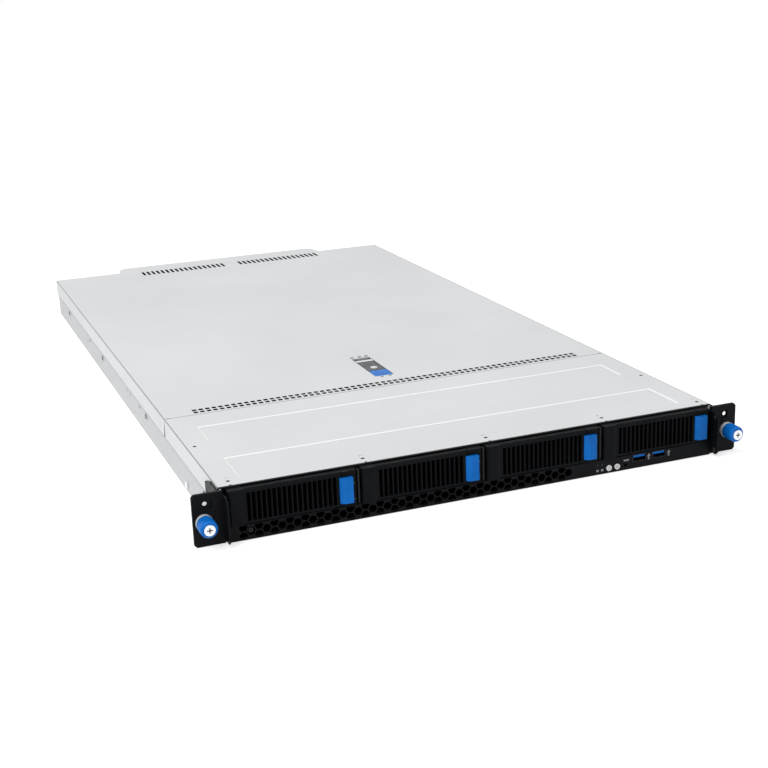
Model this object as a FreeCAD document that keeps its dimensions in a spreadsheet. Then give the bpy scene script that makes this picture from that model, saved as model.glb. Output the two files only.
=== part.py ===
import FreeCAD, Part
import Sketcher
import math
import os
from FreeCAD import Placement, Rotation, Vector

# Rack server, one unit high, with four front drive bays.
# Frame: X to the right seen from the front, Y to the rear, Z up, millimetres.
# Origin: middle of the width, in the rack-post plane behind the ears, on the chassis underside.

# ---------------------------------------------------------------- driving sizes
SIZES = {
    # chassis shell
    "chassis_width": 438.4,
    "chassis_height": 43.5,
    "body_depth": 815,
    "tail_reach": 26,
    "tail_inset": 8.3,
    "tail_root_aside": 6.0,
    "tail_tip_inset": 7.0,
    "tail_corner": 5.0,
    "tail_corner_depth": 4.0,
    "tail_lip": 5.0,
    "cover_gauge": 1.0,
    "base_gauge": 1.2,
    "wall_gauge": 1.0,
    "fit_gap": 0.2,
    "run_gap": 0.4,
    "seam_depth": 186.3,
    "panel_setback": 3.0,
    "flange_drop": 18.0,
    "flange_slope": 5.0,
    "emboss_depth": 0.7,
    "emboss_inset": 21.2,
    "emboss_front": 18.0,
    "emboss_length": 49.0,
    "emboss_rear_front": 115.0,
    "emboss_rear_length": 38.0,
    "notch_inset": 2.5,
    "notch_width": 2.5,
    "notch_length": 1.8,
    # rack ears
    "ear_span": 482.6,
    "ear_gauge": 2.5,
    "ear_top": 43.0,
    "ear_base": 0.5,
    "ear_corner": 2.0,
    "ear_relief": 0.3,
    "window_inset": 3.3,
    "window_width": 7.5,
    "window_base": 31.0,
    "window_height": 6.8,
    "window_depth": 1.4,
    "window_hole_radius": 1.8,
    "ear_plate_gauge": 1.5,
    "ear_plate_depth": 37.0,
    "ear_plate_rise": 4.0,
    "ear_plate_drop": 5.0,
    "ear_plate_slope": 15.0,
    "ear_plate_step": 0.5,
    "guard_reach": 14.5,
    "guard_base": 2.5,
    "guard_top": 39.5,
    "guard_rear": 15.0,
    "guard_corner": 3.0,
    "guard_run": 4.0,
    "guard_drop": 5.0,
    "screw_spacing": 465.1,
    "screw_height": 20.0,
    "screw_clearance": 0.6,
    # captive thumbscrew
    "knob_radius": 6.7,
    "knob_length": 13.0,
    "knob_chamfer": 1.2,
    "knob_gap": 0.5,
    "neck_radius": 2.0,
    "collar_clearance": 0.4,
    "collar_radius": 6.9,
    "collar_length": 2.9,
    "stud_radius": 2.5,
    "stud_reach": 9.0,
    "thread_relief": 0.5,
    "head_radius": 4.35,
    "head_height": 0.9,
    "recess_reach": 2.2,
    "recess_width": 1.0,
    "recess_depth": 1.5,
    # drive trays
    "bay_side_room": 3.6,
    "bay_gap": 4.6,
    "tray_base": 13.4,
    "tray_top": 42.2,
    "bezel_reach": 4.5,
    "bezel_depth": 6.0,
    "sled_front": 6.0,
    "sled_rear": 165.0,
    "sled_gauge": 0.7,
    "sled_floor": 1.0,
    "rail_height": 23.0,
    "rail_ramp": 12.0,
    "cap_rear": 14.0,
    "arm_radius": 2.5,
    "arm_height": 8.0,
    "latch_cavity": 8.5,
    "floor_margin": 14.0,
    "floor_rib": 12.0,
    "floor_hole_front": 30.0,
    "floor_hole_length": 55.0,
    "hinge_inset": 4.2,
    "hinge_depth": 0.6,
    "pin_radius": 1.2,
    "pin_clearance": 0.05,
    "knuckle_width": 11.8,
    "knuckle_proud": 0.8,
    "knuckle_back": 3.4,
    "knuckle_round": 1.2,
    "knuckle_slope": 2.6,
    "cap_width": 12.2,
    "handle_edge": 0.7,
    "slot_start": 14.3,
    "slot_pitch": 4.08,
    "slot_width": 2.9,
    "slot_base": 15.6,
    "slot_height": 23.2,
    "release_inset": 14.2,
    "release_width": 10.4,
    "release_base": 16.4,
    "release_height": 21.2,
    "release_proud": 3.0,
    "release_back": 0.5,
    "release_nose": 3.8,
    "release_side": 2.9,
    "release_bevel": 1.4,
    "release_bevel_depth": 1.2,
    "drive_room": 1.6,
    "drive_length": 147.0,
    "drive_height": 26.1,
    "drive_front": 16.0,
    "drive_rim": 3.0,
    "drive_step": 2.0,
    "drive_taper": 15.0,
    "plug_half_width": 20.0,
    "plug_height": 4.2,
    "plug_reach": 5.0,
    "plug_room": 1.0,
    "plug_headroom": 1.8,
    # drive cage and backplane
    "cage_front": 8.0,
    "cage_floor": 12.0,
    "cage_gauge": 1.0,
    "cage_top": 41.5,
    "divider_gauge": 1.6,
    "divider_reach": 2.5,
    "cage_rear": 178.0,
    "board_gauge": 1.6,
    "air_hole_inset": 7.6,
    "air_hole_base": 12.0,
    "air_hole_drop": 4.0,
    "backplane_drop": 0.5,
    # lower fascia
    "fascia_reach": 4.3,
    "fascia_gauge": 1.2,
    "fascia_base": 0.7,
    "fascia_top": 13.0,
    "fascia_inset": 4.0,
    "hex_flats": 6.2,
    "hex_pitch": 12.44,
    "hex_inset": 22.2,
    "hex_lamp_room": 16.0,
    "hex_middle": 7.34,
    "hex_low": 1.66,
    "hex_high": 12.4,
    # front controls
    "button_radius": 2.45,
    "button_clearance": 0.15,
    "button_height": 5.0,
    "power_inset": 104.1,
    "ident_inset": 96.2,
    "button_proud": 0.9,
    "button_stem": 2.2,
    "button_travel": 1.3,
    "switch_width": 5.8,
    "switch_height": 4.8,
    "switch_depth": 3.0,
    "lamp_inset": 114.9,
    "lamp_pitch": 4.5,
    "lamp_height": 8.6,
    "lamp_radius": 0.9,
    "reset_inset": 89.3,
    "reset_base": 3.6,
    "reset_width": 2.6,
    "usb_inset": 74.3,
    "usb_pitch": 19.2,
    "usb_base": 6.2,
    "usb_width": 12.8,
    "usb_height": 6.3,
    "usb_gauge": 0.4,
    "usb_tongue_half": 5.5,
    "usb_tongue_gauge": 1.8,
    "usb_tongue_drop": 1.0,
    "usb_tongue_setback": 0.8,
    "usb_wall": 2.0,
    "io_board_front": 10.0,
    "io_board_inset_left": 121.2,
    "io_board_inset_right": 37.2,
    "io_board_base": 1.6,
    # cover latch
    "latch_place": 1.5,
    "latch_front": 219.0,
    "latch_rear": 286.0,
    "latch_width": 19.0,
    "latch_depth": 9.0,
    "latch_axis_back": 6.0,
    "latch_floor_gap": 0.8,
    "latch_pin_radius": 1.4,
    "latch_gauge": 3.0,
    "latch_sink": 0.3,
    "latch_eye": 3.2,
    "lever_swell": 8.0,
    "lever_chin": 1.2,
    "lever_heel": 2.0,
    "pan_gauge": 1.0,
    "grip_length": 19.0,
    "grip_gap": 1.0,
    "grip_round": 1.0,
    "grip_lip": 2.0,
    "lock_place": 250.0,
    "lock_aside": 0.7,
    "lock_proud": 0.2,
    "lock_slot": 0.8,
    "lock_radius": 2.6,
    # cover openings
    "vent_inset": 30.2,
    "vent_margin": 28.0,
    "vent_pitch": 6.03,
    "vent_width": 4.0,
    "vent_length": 4.4,
    "vent_row": 192.5,
    "vent_row_pitch": 6.5,
    "louvre_pitch": 6.2,
    "louvre_width": 3.2,
    "louvre_length": 20.0,
    "louvre_row": 785.5,
    "louvre_inset": 20.2,
    "louvre_middle": 2.0,
    "louvre_right": 18.4,
    # fans
    "fan_size": 40.0,
    "fan_length": 56.0,
    "fan_inner": 35.0,
    "fan_inset": 42.0,
    "fan_front": 215.0,
    "fan_bore": 19.0,
    "fan_hub": 11.0,
    "fan_tip": 16.4,
    "axle_radius": 1.5,
    "hub_front": 5.0,
    "rotor_gap": 0.5,
    "hub_cup": 22.0,
    "spider_inset": 9.0,
    "spider_gauge": 4.0,
    "spider_plate": 8.0,
    "spider_arm": 1.2,
    "blade_middle": 22.0,
    "fan_wall": 1.2,
    "blade_gauge": 1.4,
    "blade_root": 6.0,
    "blade_chord": 24.0,
    # main board
    "board_base": 5.2,
    "board_front": 300.0,
    "board_step": 606.0,
    "board_side_gap": 3.0,
    "board_setback": 1.0,
    "standoff_inset": 8.0,
    "standoff_flats": 5.5,
    "cpu_aside": 1.0,
    "socket_inset": 8.0,
    "socket_half_length": 30.0,
    "dock_half_width": 28.0,
    "dock_length": 22.0,
    "dock_height": 11.0,
    "sink_room": 56.0,
    "sink_length": 108.0,
    "sink_height": 25.0,
    "sink_front": 362.0,
    "fin_pitch": 5.9,
    "fin_gauge": 1.2,
    "sink_foot": 4.0,
    "bank_inset": 36.0,
    "bank_inner": 30.0,
    "dimm_pitch": 9.5,
    "dimm_front": 349.0,
    "dimm_length": 133.4,
    "dimm_height": 31.2,
    "dimm_gauge": 1.3,
    "dimm_clearance": 0.3,
    "slot_half": 3.2,
    "slot_mouth": 0.8,
    "slot_floor": 2.8,
    "slot_wall": 8.0,
    "slot_end": 4.5,
    "slot_clip": 16.0,
    "socket_height": 8.0,
    "shroud_gauge": 0.8,
    "shroud_margin": 3.0,
    "shroud_rear": 500.0,
    # power supplies
    "psu_width": 75.0,
    "psu_side_gap": 1.5,
    "psu_height": 40.0,
    "psu_base": 1.5,
    "psu_front": 625.0,
    "dock_overhang": 8.0,
    "guide_gap": 4.0,
    "psu_inset": 1.0,
    "psu_handle_reach": 24.0,
    "psu_handle_left": -0.5,
    "psu_handle_width": 6.0,
    "psu_handle_gauge": 4.0,
    "psu_handle_margin": 4.0,
    "psu_fan_place": -19.0,
    "psu_fan_radius": 17.5,
    "psu_fan_depth": 6.0,
    "psu_guard": 0.8,
    "psu_guard_gauge": 2.0,
    "psu_guard_seat": 0.5,
    "inlet_left": 9.0,
    "inlet_width": 25.0,
    "inlet_height": 16.0,
    "inlet_depth": 16.0,
    "inlet_pin_left": 14.5,
    "inlet_pin_pitch": 6.0,
    "inlet_pin_width": 2.0,
    "inlet_pin_height": 4.0,
    "inlet_pin_setback": 3.0,
    "tab_height": 14.0,
    "tab_seat": 0.3,
    # expansion bays
    "riser_floor": 22.0,
    "riser_inset_left": 12.0,
    "riser_inset_right": 3.0,
    "riser_middle_gap": 13.0,
    "riser_leg": 20.0,
    "bay_front": 640.0,
    "bay_margin": 3.0,
    "riser_front": 652.0,
    "riser_length": 122.0,
    "riser_aside": 3.2,
    "port_reach": 0.6,
    "port_length": 21.0,
    "port_depth": 12.0,
    "port_gauge": 1.2,
    # side studs
    "side_stud_radius": 2.4,
    "side_stud_reach": 1.6,
    "side_stud_first": 275.0,
    "side_stud_pitch": 225.0,
    "side_stud_height": 20.0,
}

# rear sockets from left to right: gap before, width and height of each, and the gap after the last
REAR_PORTS = {
    "network_1": (19, 16, 13.4),
    "network_2": (6, 16, 13.4),
    "data_1": (14, 13.4, 6.3),
    "data_2": (8.6, 13.4, 6.3),
    "display": (34.6, 31, 12.5),
    "serial": (19, 31, 12.5),
}
REAR_END_GAP = 40

# small openings low in each side wall: front, rear, low and high edge of each
WALL_SLOTS = ((302, 308, 19, 21.4), (350.5, 353.5, 18.5, 21.5), (366.5, 369.5, 18.5, 21.5),
              (576, 579, 18.5, 21.5), (584, 588, 17, 21))

TRAY_COUNT = 4
FAN_COUNT = 6
BLADE_COUNT = 5
DIMMS_PER_BANK = 4
STUDS_PER_SIDE = 3
BLADE_TILT = 38

doc = FreeCAD.newDocument("rack_server")
sheet = doc.addObject("Spreadsheet::Sheet", "dims")
for row, (word, number) in enumerate(SIZES.items(), start=1):
    sheet.set("A%d" % row, word)
    sheet.set("B%d" % row, str(number))
    sheet.setAlias("B%d" % row, word)
doc.recompute()


# ---------------------------------------------------------------- sizes as sheet expressions
class Size:
    """A length that knows its number and the sheet expression that gives it."""

    def __init__(self, value, text):
        self.value = value
        self.text = text

    def __add__(self, other):
        other = size(other)
        return Size(self.value + other.value, "(%s + %s)" % (self.text, other.text))

    def __radd__(self, other):
        return size(other) + self

    def __sub__(self, other):
        other = size(other)
        return Size(self.value - other.value, "(%s - %s)" % (self.text, other.text))

    def __rsub__(self, other):
        return size(other) - self

    def __mul__(self, other):
        other = size(other)
        return Size(self.value * other.value, "(%s * %s)" % (self.text, other.text))

    def __rmul__(self, other):
        return size(other) * self

    def __truediv__(self, other):
        other = size(other)
        return Size(self.value / other.value, "(%s / %s)" % (self.text, other.text))

    def __neg__(self):
        return Size(-self.value, "(0 - %s)" % self.text)


def size(number):
    return number if isinstance(number, Size) else Size(float(number), repr(float(number)))


class Dims:
    """The sheet's cells, each as a Size of the same name."""


d = Dims()
for word, number in SIZES.items():
    setattr(d, word, Size(float(number), "dims.%s" % word))

def derive(word, amount):
    """A size that follows from others, kept in the sheet as a formula."""
    row = len(vars(d)) + 1
    sheet.set("A%d" % row, word)
    sheet.set("B%d" % row, "=" + amount.text.replace("dims.", ""))
    sheet.setAlias("B%d" % row, word)
    setattr(d, word, Size(amount.value, "dims.%s" % word))


def fitting(room, pitch):
    """How many whole steps of this pitch fit in a length."""
    return int(room.value / pitch.value)


# sizes that follow from the sheet
HALF = d.chassis_width / 2
LID_UNDER = d.chassis_height - d.cover_gauge
WALL_OUT = HALF - d.cover_gauge - d.fit_gap
WALL_IN = WALL_OUT - d.wall_gauge
FLANGE_BASE = d.chassis_height - d.flange_drop
SHELL_REAR = d.body_depth - d.cover_gauge
TAIL_REAR = d.body_depth + d.tail_reach
PANEL_REAR = TAIL_REAR - d.cover_gauge - d.cover_gauge - d.cover_gauge
BEZEL_FRONT = -d.bezel_reach
FASCIA_FRONT = -d.fascia_reach
FASCIA_BACK = FASCIA_FRONT + d.fascia_gauge
EAR_FRONT = -d.ear_gauge
BOARD_TOP = d.board_base + d.board_gauge
GUARD_IN = WALL_IN - d.ear_plate_gauge
SCREW_X = d.screw_spacing / 2
derive("bay_pitch", (d.chassis_width - d.bay_side_room * 2) / TRAY_COUNT)
derive("tray_width", d.bay_pitch - d.bay_gap)
derive("handle_length", d.tray_width - d.cap_width)
derive("release_start", d.tray_width - d.release_inset)
derive("drive_width", d.tray_width - d.drive_room)
derive("air_hole_half", d.tray_width / 2 - d.air_hole_inset)
SLOT_COUNT = fitting(d.release_start - d.slot_start, d.slot_pitch)
CAGE_OUT = d.bay_pitch * TRAY_COUNT / 2 - d.run_gap
TRAY_MIDDLE = (d.tray_base + d.tray_top) / 2
derive("fascia_half_width", HALF - d.fascia_inset)
derive("hex_first", d.hex_inset - HALF)
derive("lamp_place", HALF - d.lamp_inset)
derive("power_place", HALF - d.power_inset)
derive("ident_place", HALF - d.ident_inset)
derive("reset_place", HALF - d.reset_inset)
derive("usb_first", HALF - d.usb_inset)
derive("io_board_left", HALF - d.io_board_inset_left)
derive("io_board_right", HALF - d.io_board_inset_right)
HEX_COUNT = fitting(d.lamp_place - d.hex_lamp_room - d.hex_first, d.hex_pitch) + 1
derive("emboss_half_width", HALF - d.emboss_inset)
derive("vent_first", d.vent_inset - HALF)
VENT_COUNT = fitting(HALF - d.vent_margin - d.vent_first, d.vent_pitch) + 1
derive("latch_axis_height", LID_UNDER - d.latch_depth + d.pan_gauge + d.latch_eye + d.latch_floor_gap)
LATCH_AXIS = d.latch_rear - d.latch_axis_back
LATCH_HALF = d.latch_width / 2
PAN_HALF = LATCH_HALF + d.pan_gauge + d.run_gap
LEVER_TOP = d.chassis_height - d.latch_sink
LEVER_UNDER = LEVER_TOP - d.latch_gauge
GRIP_REAR = d.latch_front + d.grip_gap + d.grip_length
FAN_MIDDLE = d.base_gauge + d.cage_gauge + d.fan_size / 2
derive("fan_pitch", (WALL_IN - d.fan_inset - d.fan_inner) / (FAN_COUNT / 2 - 1))
PSU_HALF = d.psu_width / 2
derive("psu_place", WALL_IN - d.psu_side_gap - PSU_HALF)
PARTITION_OUT = d.psu_place - PSU_HALF - d.base_gauge
PSU_DOCK = d.board_step + d.dock_overhang
derive("tail_half_width", PARTITION_OUT - d.tail_inset)
derive("louvre_left", d.louvre_inset - d.tail_half_width)
LOUVRE_COUNT = fitting(-d.louvre_left - d.louvre_middle - d.louvre_width, d.louvre_pitch) + 1
derive("board_half_width", WALL_IN - d.board_side_gap)
derive("board_tail_half", d.tail_half_width - d.board_side_gap)
derive("bank_outer", d.board_half_width - d.bank_inset)
derive("cpu_place", (d.bank_outer + d.bank_inner) / 2 + d.cpu_aside)
derive("sink_width", d.bank_outer - d.bank_inner - d.sink_room)
derive("socket_half_width", d.sink_width / 2 - d.socket_inset)
FIN_COUNT = fitting(d.sink_width - d.fin_gauge, d.fin_pitch) + 1
derive("bay_width", d.tail_half_width - (d.riser_inset_left + d.riser_inset_right + d.riser_middle_gap) / 2)
derive("bay_left", d.riser_inset_left - d.tail_half_width)
derive("bay_right", d.bay_left + d.bay_width + d.riser_middle_gap)
port_widths = sum(wide for gap, wide, tall in REAR_PORTS.values())
port_gaps = sum(gap for gap, wide, tall in REAR_PORTS.values()) + REAR_END_GAP
derive("port_spread", (d.tail_half_width * 2 - port_widths) / port_gaps)
doc.recompute()


# ---------------------------------------------------------------- modelling helpers
def bind(item, prop, amount):
    item.setExpression(prop, size(amount).text)


def place(item, x=0, y=0, z=0):
    bind(item, "Placement.Base.x", x)
    bind(item, "Placement.Base.y", y)
    bind(item, "Placement.Base.z", z)
    return item


def new_body(label):
    body = doc.addObject("PartDesign::Body", label)
    body.Label = label
    return body


def sketch_on(body, role, offset, outlines):
    """A sketch parallel to an origin plane; each outline is a function that draws in it."""
    sketch = body.newObject("Sketcher::SketchObject", body.Name + "_sketch")
    base = next(f for f in body.Origin.OriginFeatures if f.Role == role)
    sketch.AttachmentSupport = (base, [""])
    sketch.MapMode = "FlatFace"
    bind(sketch, "AttachmentOffset.Base.z", offset)
    for outline in outlines:
        outline(sketch)
    return sketch


def pin_point(sketch, geo, pos, u, v):
    for kind, amount in (("DistanceX", size(u)), ("DistanceY", size(v))):
        index = sketch.addConstraint(Sketcher.Constraint(kind, -1, 1, geo, pos, amount.value))
        sketch.setExpression("Constraints[%d]" % index, amount.text)


def polygon(*corners):
    """Closed outline through corners, each pinned to the sketch origin."""
    def draw(sketch):
        first = sketch.GeometryCount
        points = [(size(u), size(v)) for u, v in corners]
        count = len(points)
        for i in range(count):
            u0, v0 = points[i]
            u1, v1 = points[(i + 1) % count]
            start = Vector(u0.value, v0.value, 0)
            end = Vector(u1.value, v1.value, 0)
            sketch.addGeometry(Part.LineSegment(start, end), False)
        for i in range(count):
            follower = first + (i + 1) % count
            sketch.addConstraint(Sketcher.Constraint("Coincident", first + i, 2, follower, 1))
            pin_point(sketch, first + i, 1, points[i][0], points[i][1])
    return draw


def rectangle(u0, u1, v0, v1):
    return polygon((u0, v0), (u1, v0), (u1, v1), (u0, v1))


def circle(u, v, radius):
    def draw(sketch):
        centre = Vector(size(u).value, size(v).value, 0)
        geo = sketch.addGeometry(Part.Circle(centre, Vector(0, 0, 1), size(radius).value), False)
        pin_point(sketch, geo, 3, u, v)
        index = sketch.addConstraint(Sketcher.Constraint("Radius", geo, size(radius).value))
        sketch.setExpression("Constraints[%d]" % index, size(radius).text)
    return draw


def ring(u, v, radius, sides):
    """Regular outline with flats level and upright."""
    step = 2 * math.pi / sides
    corners = [step * (n + 0.5) for n in range(sides)]
    return polygon(*[(u + radius * math.cos(a), v + radius * math.sin(a)) for a in corners])


PLANES = {"z": "XY_Plane", "y": "XZ_Plane", "x": "YZ_Plane"}


def extrude(kind, body, axis, start, end, *outlines):
    """A Pad or Pocket of outlines between two places along an axis."""
    start = size(start)
    end = size(end)
    offset = -end if axis == "y" else start
    sketch = sketch_on(body, PLANES[axis], offset, outlines)
    feature = body.newObject("PartDesign::" + kind, body.Name + "_" + kind.lower())
    feature.Profile = sketch
    bind(feature, "Length", end - start)
    feature.Reversed = kind == "Pocket"
    sketch.Visibility = False
    return feature


def pad(body, axis, start, end, *outlines):
    return extrude("Pad", body, axis, start, end, *outlines)


def pocket(body, axis, start, end, *outlines):
    return extrude("Pocket", body, axis, start, end, *outlines)


def row_of(body, features, spacing, count):
    """Repeat features across the body, along the first one's sketch."""
    pattern = body.newObject("PartDesign::LinearPattern", body.Name + "_row")
    pattern.Originals = features
    sketch = features[0].Profile[0]
    pattern.Direction = (sketch, ["H_Axis"])
    pattern.Mode = "Spacing"
    bind(pattern, "Offset", spacing)
    pattern.Occurrences = count
    body.Tip = pattern
    return pattern


def mirror_x(body, features):
    mirrored = body.newObject("PartDesign::Mirrored", body.Name + "_mirror")
    mirrored.Originals = features
    base = next(f for f in body.Origin.OriginFeatures if f.Role == "YZ_Plane")
    mirrored.MirrorPlane = (base, [""])
    body.Tip = mirrored
    return mirrored


def turned(body, outline):
    """Revolve an outline drawn in the XY plane about the body's Y axis."""
    sketch = sketch_on(body, "XY_Plane", 0, [outline])
    feature = body.newObject("PartDesign::Revolution", body.Name + "_turned")
    feature.Profile = sketch
    feature.ReferenceAxis = (sketch, ["V_Axis"])
    feature.Angle = 360
    return feature


def block(name, x0, x1, y0, y1, z0, z1):
    item = doc.addObject("Part::Box", name)
    bind(item, "Length", size(x1) - x0)
    bind(item, "Width", size(y1) - y0)
    bind(item, "Height", size(z1) - z0)
    return place(item, x0, y0, z0)


def rod(name, axis, x, y, z, radius, length):
    item = doc.addObject("Part::Cylinder", name)
    bind(item, "Radius", radius)
    bind(item, "Height", length)
    turn = {"x": Rotation(Vector(0, 1, 0), 90), "y": Rotation(Vector(1, 0, 0), -90), "z": Rotation()}
    item.Placement = Placement(Vector(0, 0, 0), turn[axis])
    return place(item, x, y, z)


def cut(name, base, *tools):
    tool = tools[0] if len(tools) == 1 else fuse(name + "_tools", *tools)
    item = doc.addObject("Part::Cut", name)
    item.Base = base
    item.Tool = tool
    return item


def fuse(name, *items):
    item = doc.addObject("Part::MultiFuse", name)
    item.Shapes = list(items)
    return item


def group(label, *items):
    """Separate solids of the same make, kept apart in one sub-part."""
    item = doc.addObject("Part::Compound", label)
    item.Label = label
    item.Links = list(items)
    return item


def copy_at(name, original, x=0, y=0, z=0):
    link = doc.addObject("App::Link", name)
    link.LinkedObject = original
    return place(link, x, y, z)


def label_as(item, label):
    item.Label = label
    return item


PARTS = []


def keep(item):
    PARTS.append(item)
    return item


# ---------------------------------------------------------------- chassis shell
def make_chassis_tray():
    body = new_body("chassis_tray")
    lip = GUARD_IN - d.fit_gap
    tail = d.tail_half_width
    pad(body, "z", 0, d.base_gauge,
        polygon((-WALL_OUT, 0), (-lip, 0), (-lip, FASCIA_BACK), (lip, FASCIA_BACK), (lip, 0),
                (WALL_OUT, 0), (WALL_OUT, SHELL_REAR), (tail, SHELL_REAR), (tail, PANEL_REAR),
                (-tail, PANEL_REAR), (-tail, SHELL_REAR), (-WALL_OUT, SHELL_REAR)))
    wall = pad(body, "x", WALL_IN, WALL_OUT, rectangle(0, SHELL_REAR, 0, LID_UNDER))
    slots = pocket(body, "x", WALL_IN, WALL_OUT, *[rectangle(*edges) for edges in WALL_SLOTS])
    mirror_x(body, [wall, slots])
    inset = d.standoff_inset
    wide = d.board_half_width - inset
    narrow = d.board_tail_half - inset
    front = d.board_front + inset
    rear = d.board_step - inset
    standoffs = []
    for y in (front, (front + rear) / 2, rear):
        for x in (-wide, wide):
            standoffs.append(hexagon(x, y, d.standoff_flats))
    for y in (front, rear, (rear + PANEL_REAR) / 2, PANEL_REAR - 4 * inset):
        for x in (-narrow, narrow):
            standoffs.append(hexagon(x, y, d.standoff_flats))
    pad(body, "z", d.base_gauge, d.board_base, *standoffs)
    return keep(body)


def make_rear_panel():
    body = new_body("rear_panel")
    half = d.tail_half_width
    back = PANEL_REAR
    front = back - d.wall_gauge
    flange = PARTITION_OUT
    inner = half - d.wall_gauge
    corner = SHELL_REAR
    pad(body, "z", d.base_gauge, d.cage_top,
        polygon((-flange, corner), (-half, corner), (-half, back), (half, back), (half, corner),
                (flange, corner), (flange, corner - d.wall_gauge), (inner, corner - d.wall_gauge),
                (inner, front), (-inner, front), (-inner, corner - d.wall_gauge),
                (-flange, corner - d.wall_gauge)))
    edge = d.bay_margin
    low = d.riser_floor + edge
    high = d.cage_top - edge
    pocket(body, "y", front, back,
           rectangle(d.bay_left + edge, d.bay_left + d.bay_width - edge, low, high),
           rectangle(d.bay_right + edge, d.bay_right + d.bay_width - edge, low, high))
    windows = []
    for x0, x1, z0, z1 in port_windows().values():
        windows.append(rectangle(x0 - d.fit_gap, x1 + d.fit_gap, z0 - d.fit_gap, z1 + d.fit_gap))
    pocket(body, "y", front, back, *windows)
    return keep(body)


def port_windows():
    """Left, right, low and high edge of each rear socket."""
    windows = {}
    left = -d.tail_half_width
    for word, (gap, wide, tall) in REAR_PORTS.items():
        left = left + d.port_spread * gap
        windows[word] = (left, left + wide, BOARD_TOP, BOARD_TOP + tall)
        left = left + wide
    return windows


def make_front_top_panel():
    body = new_body("front_top_panel")
    top = d.chassis_height
    pad(body, "y", d.panel_setback, d.seam_depth - d.fit_gap,
        polygon((-HALF, FLANGE_BASE), (-HALF, top), (HALF, top), (HALF, FLANGE_BASE),
                (HALF - d.cover_gauge, FLANGE_BASE), (HALF - d.cover_gauge, LID_UNDER),
                (-(HALF - d.cover_gauge), LID_UNDER), (-(HALF - d.cover_gauge), FLANGE_BASE)))
    sink = d.emboss_depth
    half = d.emboss_half_width
    rim = d.cover_gauge
    for front, length in ((d.emboss_front, d.emboss_length),
                          (d.emboss_rear_front, d.emboss_rear_length)):
        rear = front + length
        pad(body, "z", LID_UNDER - sink, LID_UNDER,
            rectangle(-half - rim, half + rim, front - rim, rear + rim))
        pocket(body, "z", top - sink, top, rectangle(-half, half, front, rear))
    return keep(body)


def hexagon(x, z, flats, low=None, high=None):
    """Regular hexagon with corners left and right, cut off level at low or high."""
    z = size(z)
    half = flats / 2
    corner = flats / math.sqrt(3)
    up = half if high is None else high - z
    down = half if low is None else z - low
    up_half = corner - corner / 2 * up / half
    down_half = corner - corner / 2 * down / half
    return polygon((x - corner, z), (x - down_half, z - down), (x + down_half, z - down),
                   (x + corner, z), (x + up_half, z + up), (x - up_half, z + up))


def make_front_fascia():
    body = new_body("front_fascia")
    half = d.fascia_half_width
    lip = d.base_gauge
    lip_rear = d.cage_front - d.run_gap
    pad(body, "x", -half, half,
        polygon((FASCIA_FRONT, d.fascia_base), (FASCIA_FRONT, d.fascia_top),
                (FASCIA_BACK, d.fascia_top), (FASCIA_BACK, lip + d.fascia_gauge),
                (lip_rear, lip + d.fascia_gauge), (lip_rear, lip), (FASCIA_BACK, lip),
                (FASCIA_BACK, d.fascia_base)))
    rise = d.hex_pitch / math.sqrt(3) / 2
    aside = d.hex_pitch / 2
    middle = pocket(body, "y", FASCIA_FRONT, FASCIA_BACK, hexagon(d.hex_first, d.hex_middle, d.hex_flats))
    row_of(body, [middle], d.hex_pitch, HEX_COUNT)
    upper = pocket(body, "y", FASCIA_FRONT, FASCIA_BACK,
                   hexagon(d.hex_first - aside, d.hex_middle + rise, d.hex_flats, high=d.hex_high))
    row_of(body, [upper], d.hex_pitch, HEX_COUNT)
    lower = pocket(body, "y", FASCIA_FRONT, FASCIA_BACK,
                   hexagon(d.hex_first - aside, d.hex_middle - rise, d.hex_flats, low=d.hex_low))
    row_of(body, [lower], d.hex_pitch, HEX_COUNT)
    hole = d.button_radius + d.button_clearance
    gap = d.fit_gap
    top = d.usb_base + d.usb_height
    first = d.usb_first
    second = d.usb_first + d.usb_pitch
    wide = d.usb_width / 2 + gap
    pocket(body, "y", FASCIA_FRONT, FASCIA_BACK,
           circle(d.power_place, d.button_height, hole),
           circle(d.ident_place, d.button_height, hole),
           ring(d.lamp_place, d.lamp_height, d.lamp_radius, 8),
           ring(d.lamp_place + d.lamp_pitch, d.lamp_height, d.lamp_radius, 8),
           rectangle(d.reset_place, d.reset_place + d.reset_width, d.reset_base,
                     d.reset_base + d.reset_width),
           rectangle(first - wide, first + wide, d.usb_base - gap, top + gap / 2),
           rectangle(second - wide, second + wide, d.usb_base - gap, top + gap / 2))
    return keep(body)


def make_drive_cage():
    outer = CAGE_OUT
    inner = outer - d.cage_gauge
    floor = d.cage_floor
    front = d.cage_front
    rear = d.cage_rear
    top = d.cage_top
    plate = new_body("cage_floor_plate")
    pad(plate, "z", floor, floor + d.cage_gauge, rectangle(-inner, inner, FASCIA_BACK, rear))
    near = d.usb_first - d.usb_width / 2 - d.run_gap
    far = d.usb_first + d.usb_pitch + d.usb_width / 2 + d.run_gap
    pocket(plate, "z", floor, floor + d.cage_gauge,
           rectangle(near, far, FASCIA_BACK, d.io_board_front + d.board_gauge + d.run_gap))
    sides = [block("cage_side_" + word, x0, x0 + d.cage_gauge, front, rear, d.base_gauge, top)
             for word, x0 in (("left", -outer), ("right", inner))]
    half = d.divider_gauge / 2
    dividers = []
    for index in range(1, TRAY_COUNT):
        x = d.bay_pitch * (index - TRAY_COUNT / 2)
        dividers.append(block("cage_divider_%d" % index, x - half, x + half, -d.divider_reach, rear,
                              floor + d.cage_gauge, top))
    keep(group("drive_cage", plate, *sides, *dividers))


# ---------------------------------------------------------------- drive trays
def tray_left(index):
    """Left edge of a tray's bezel, counted from the left bay."""
    middle = d.bay_pitch * (index - (TRAY_COUNT - 1) / 2)
    return middle - d.tray_width / 2


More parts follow.
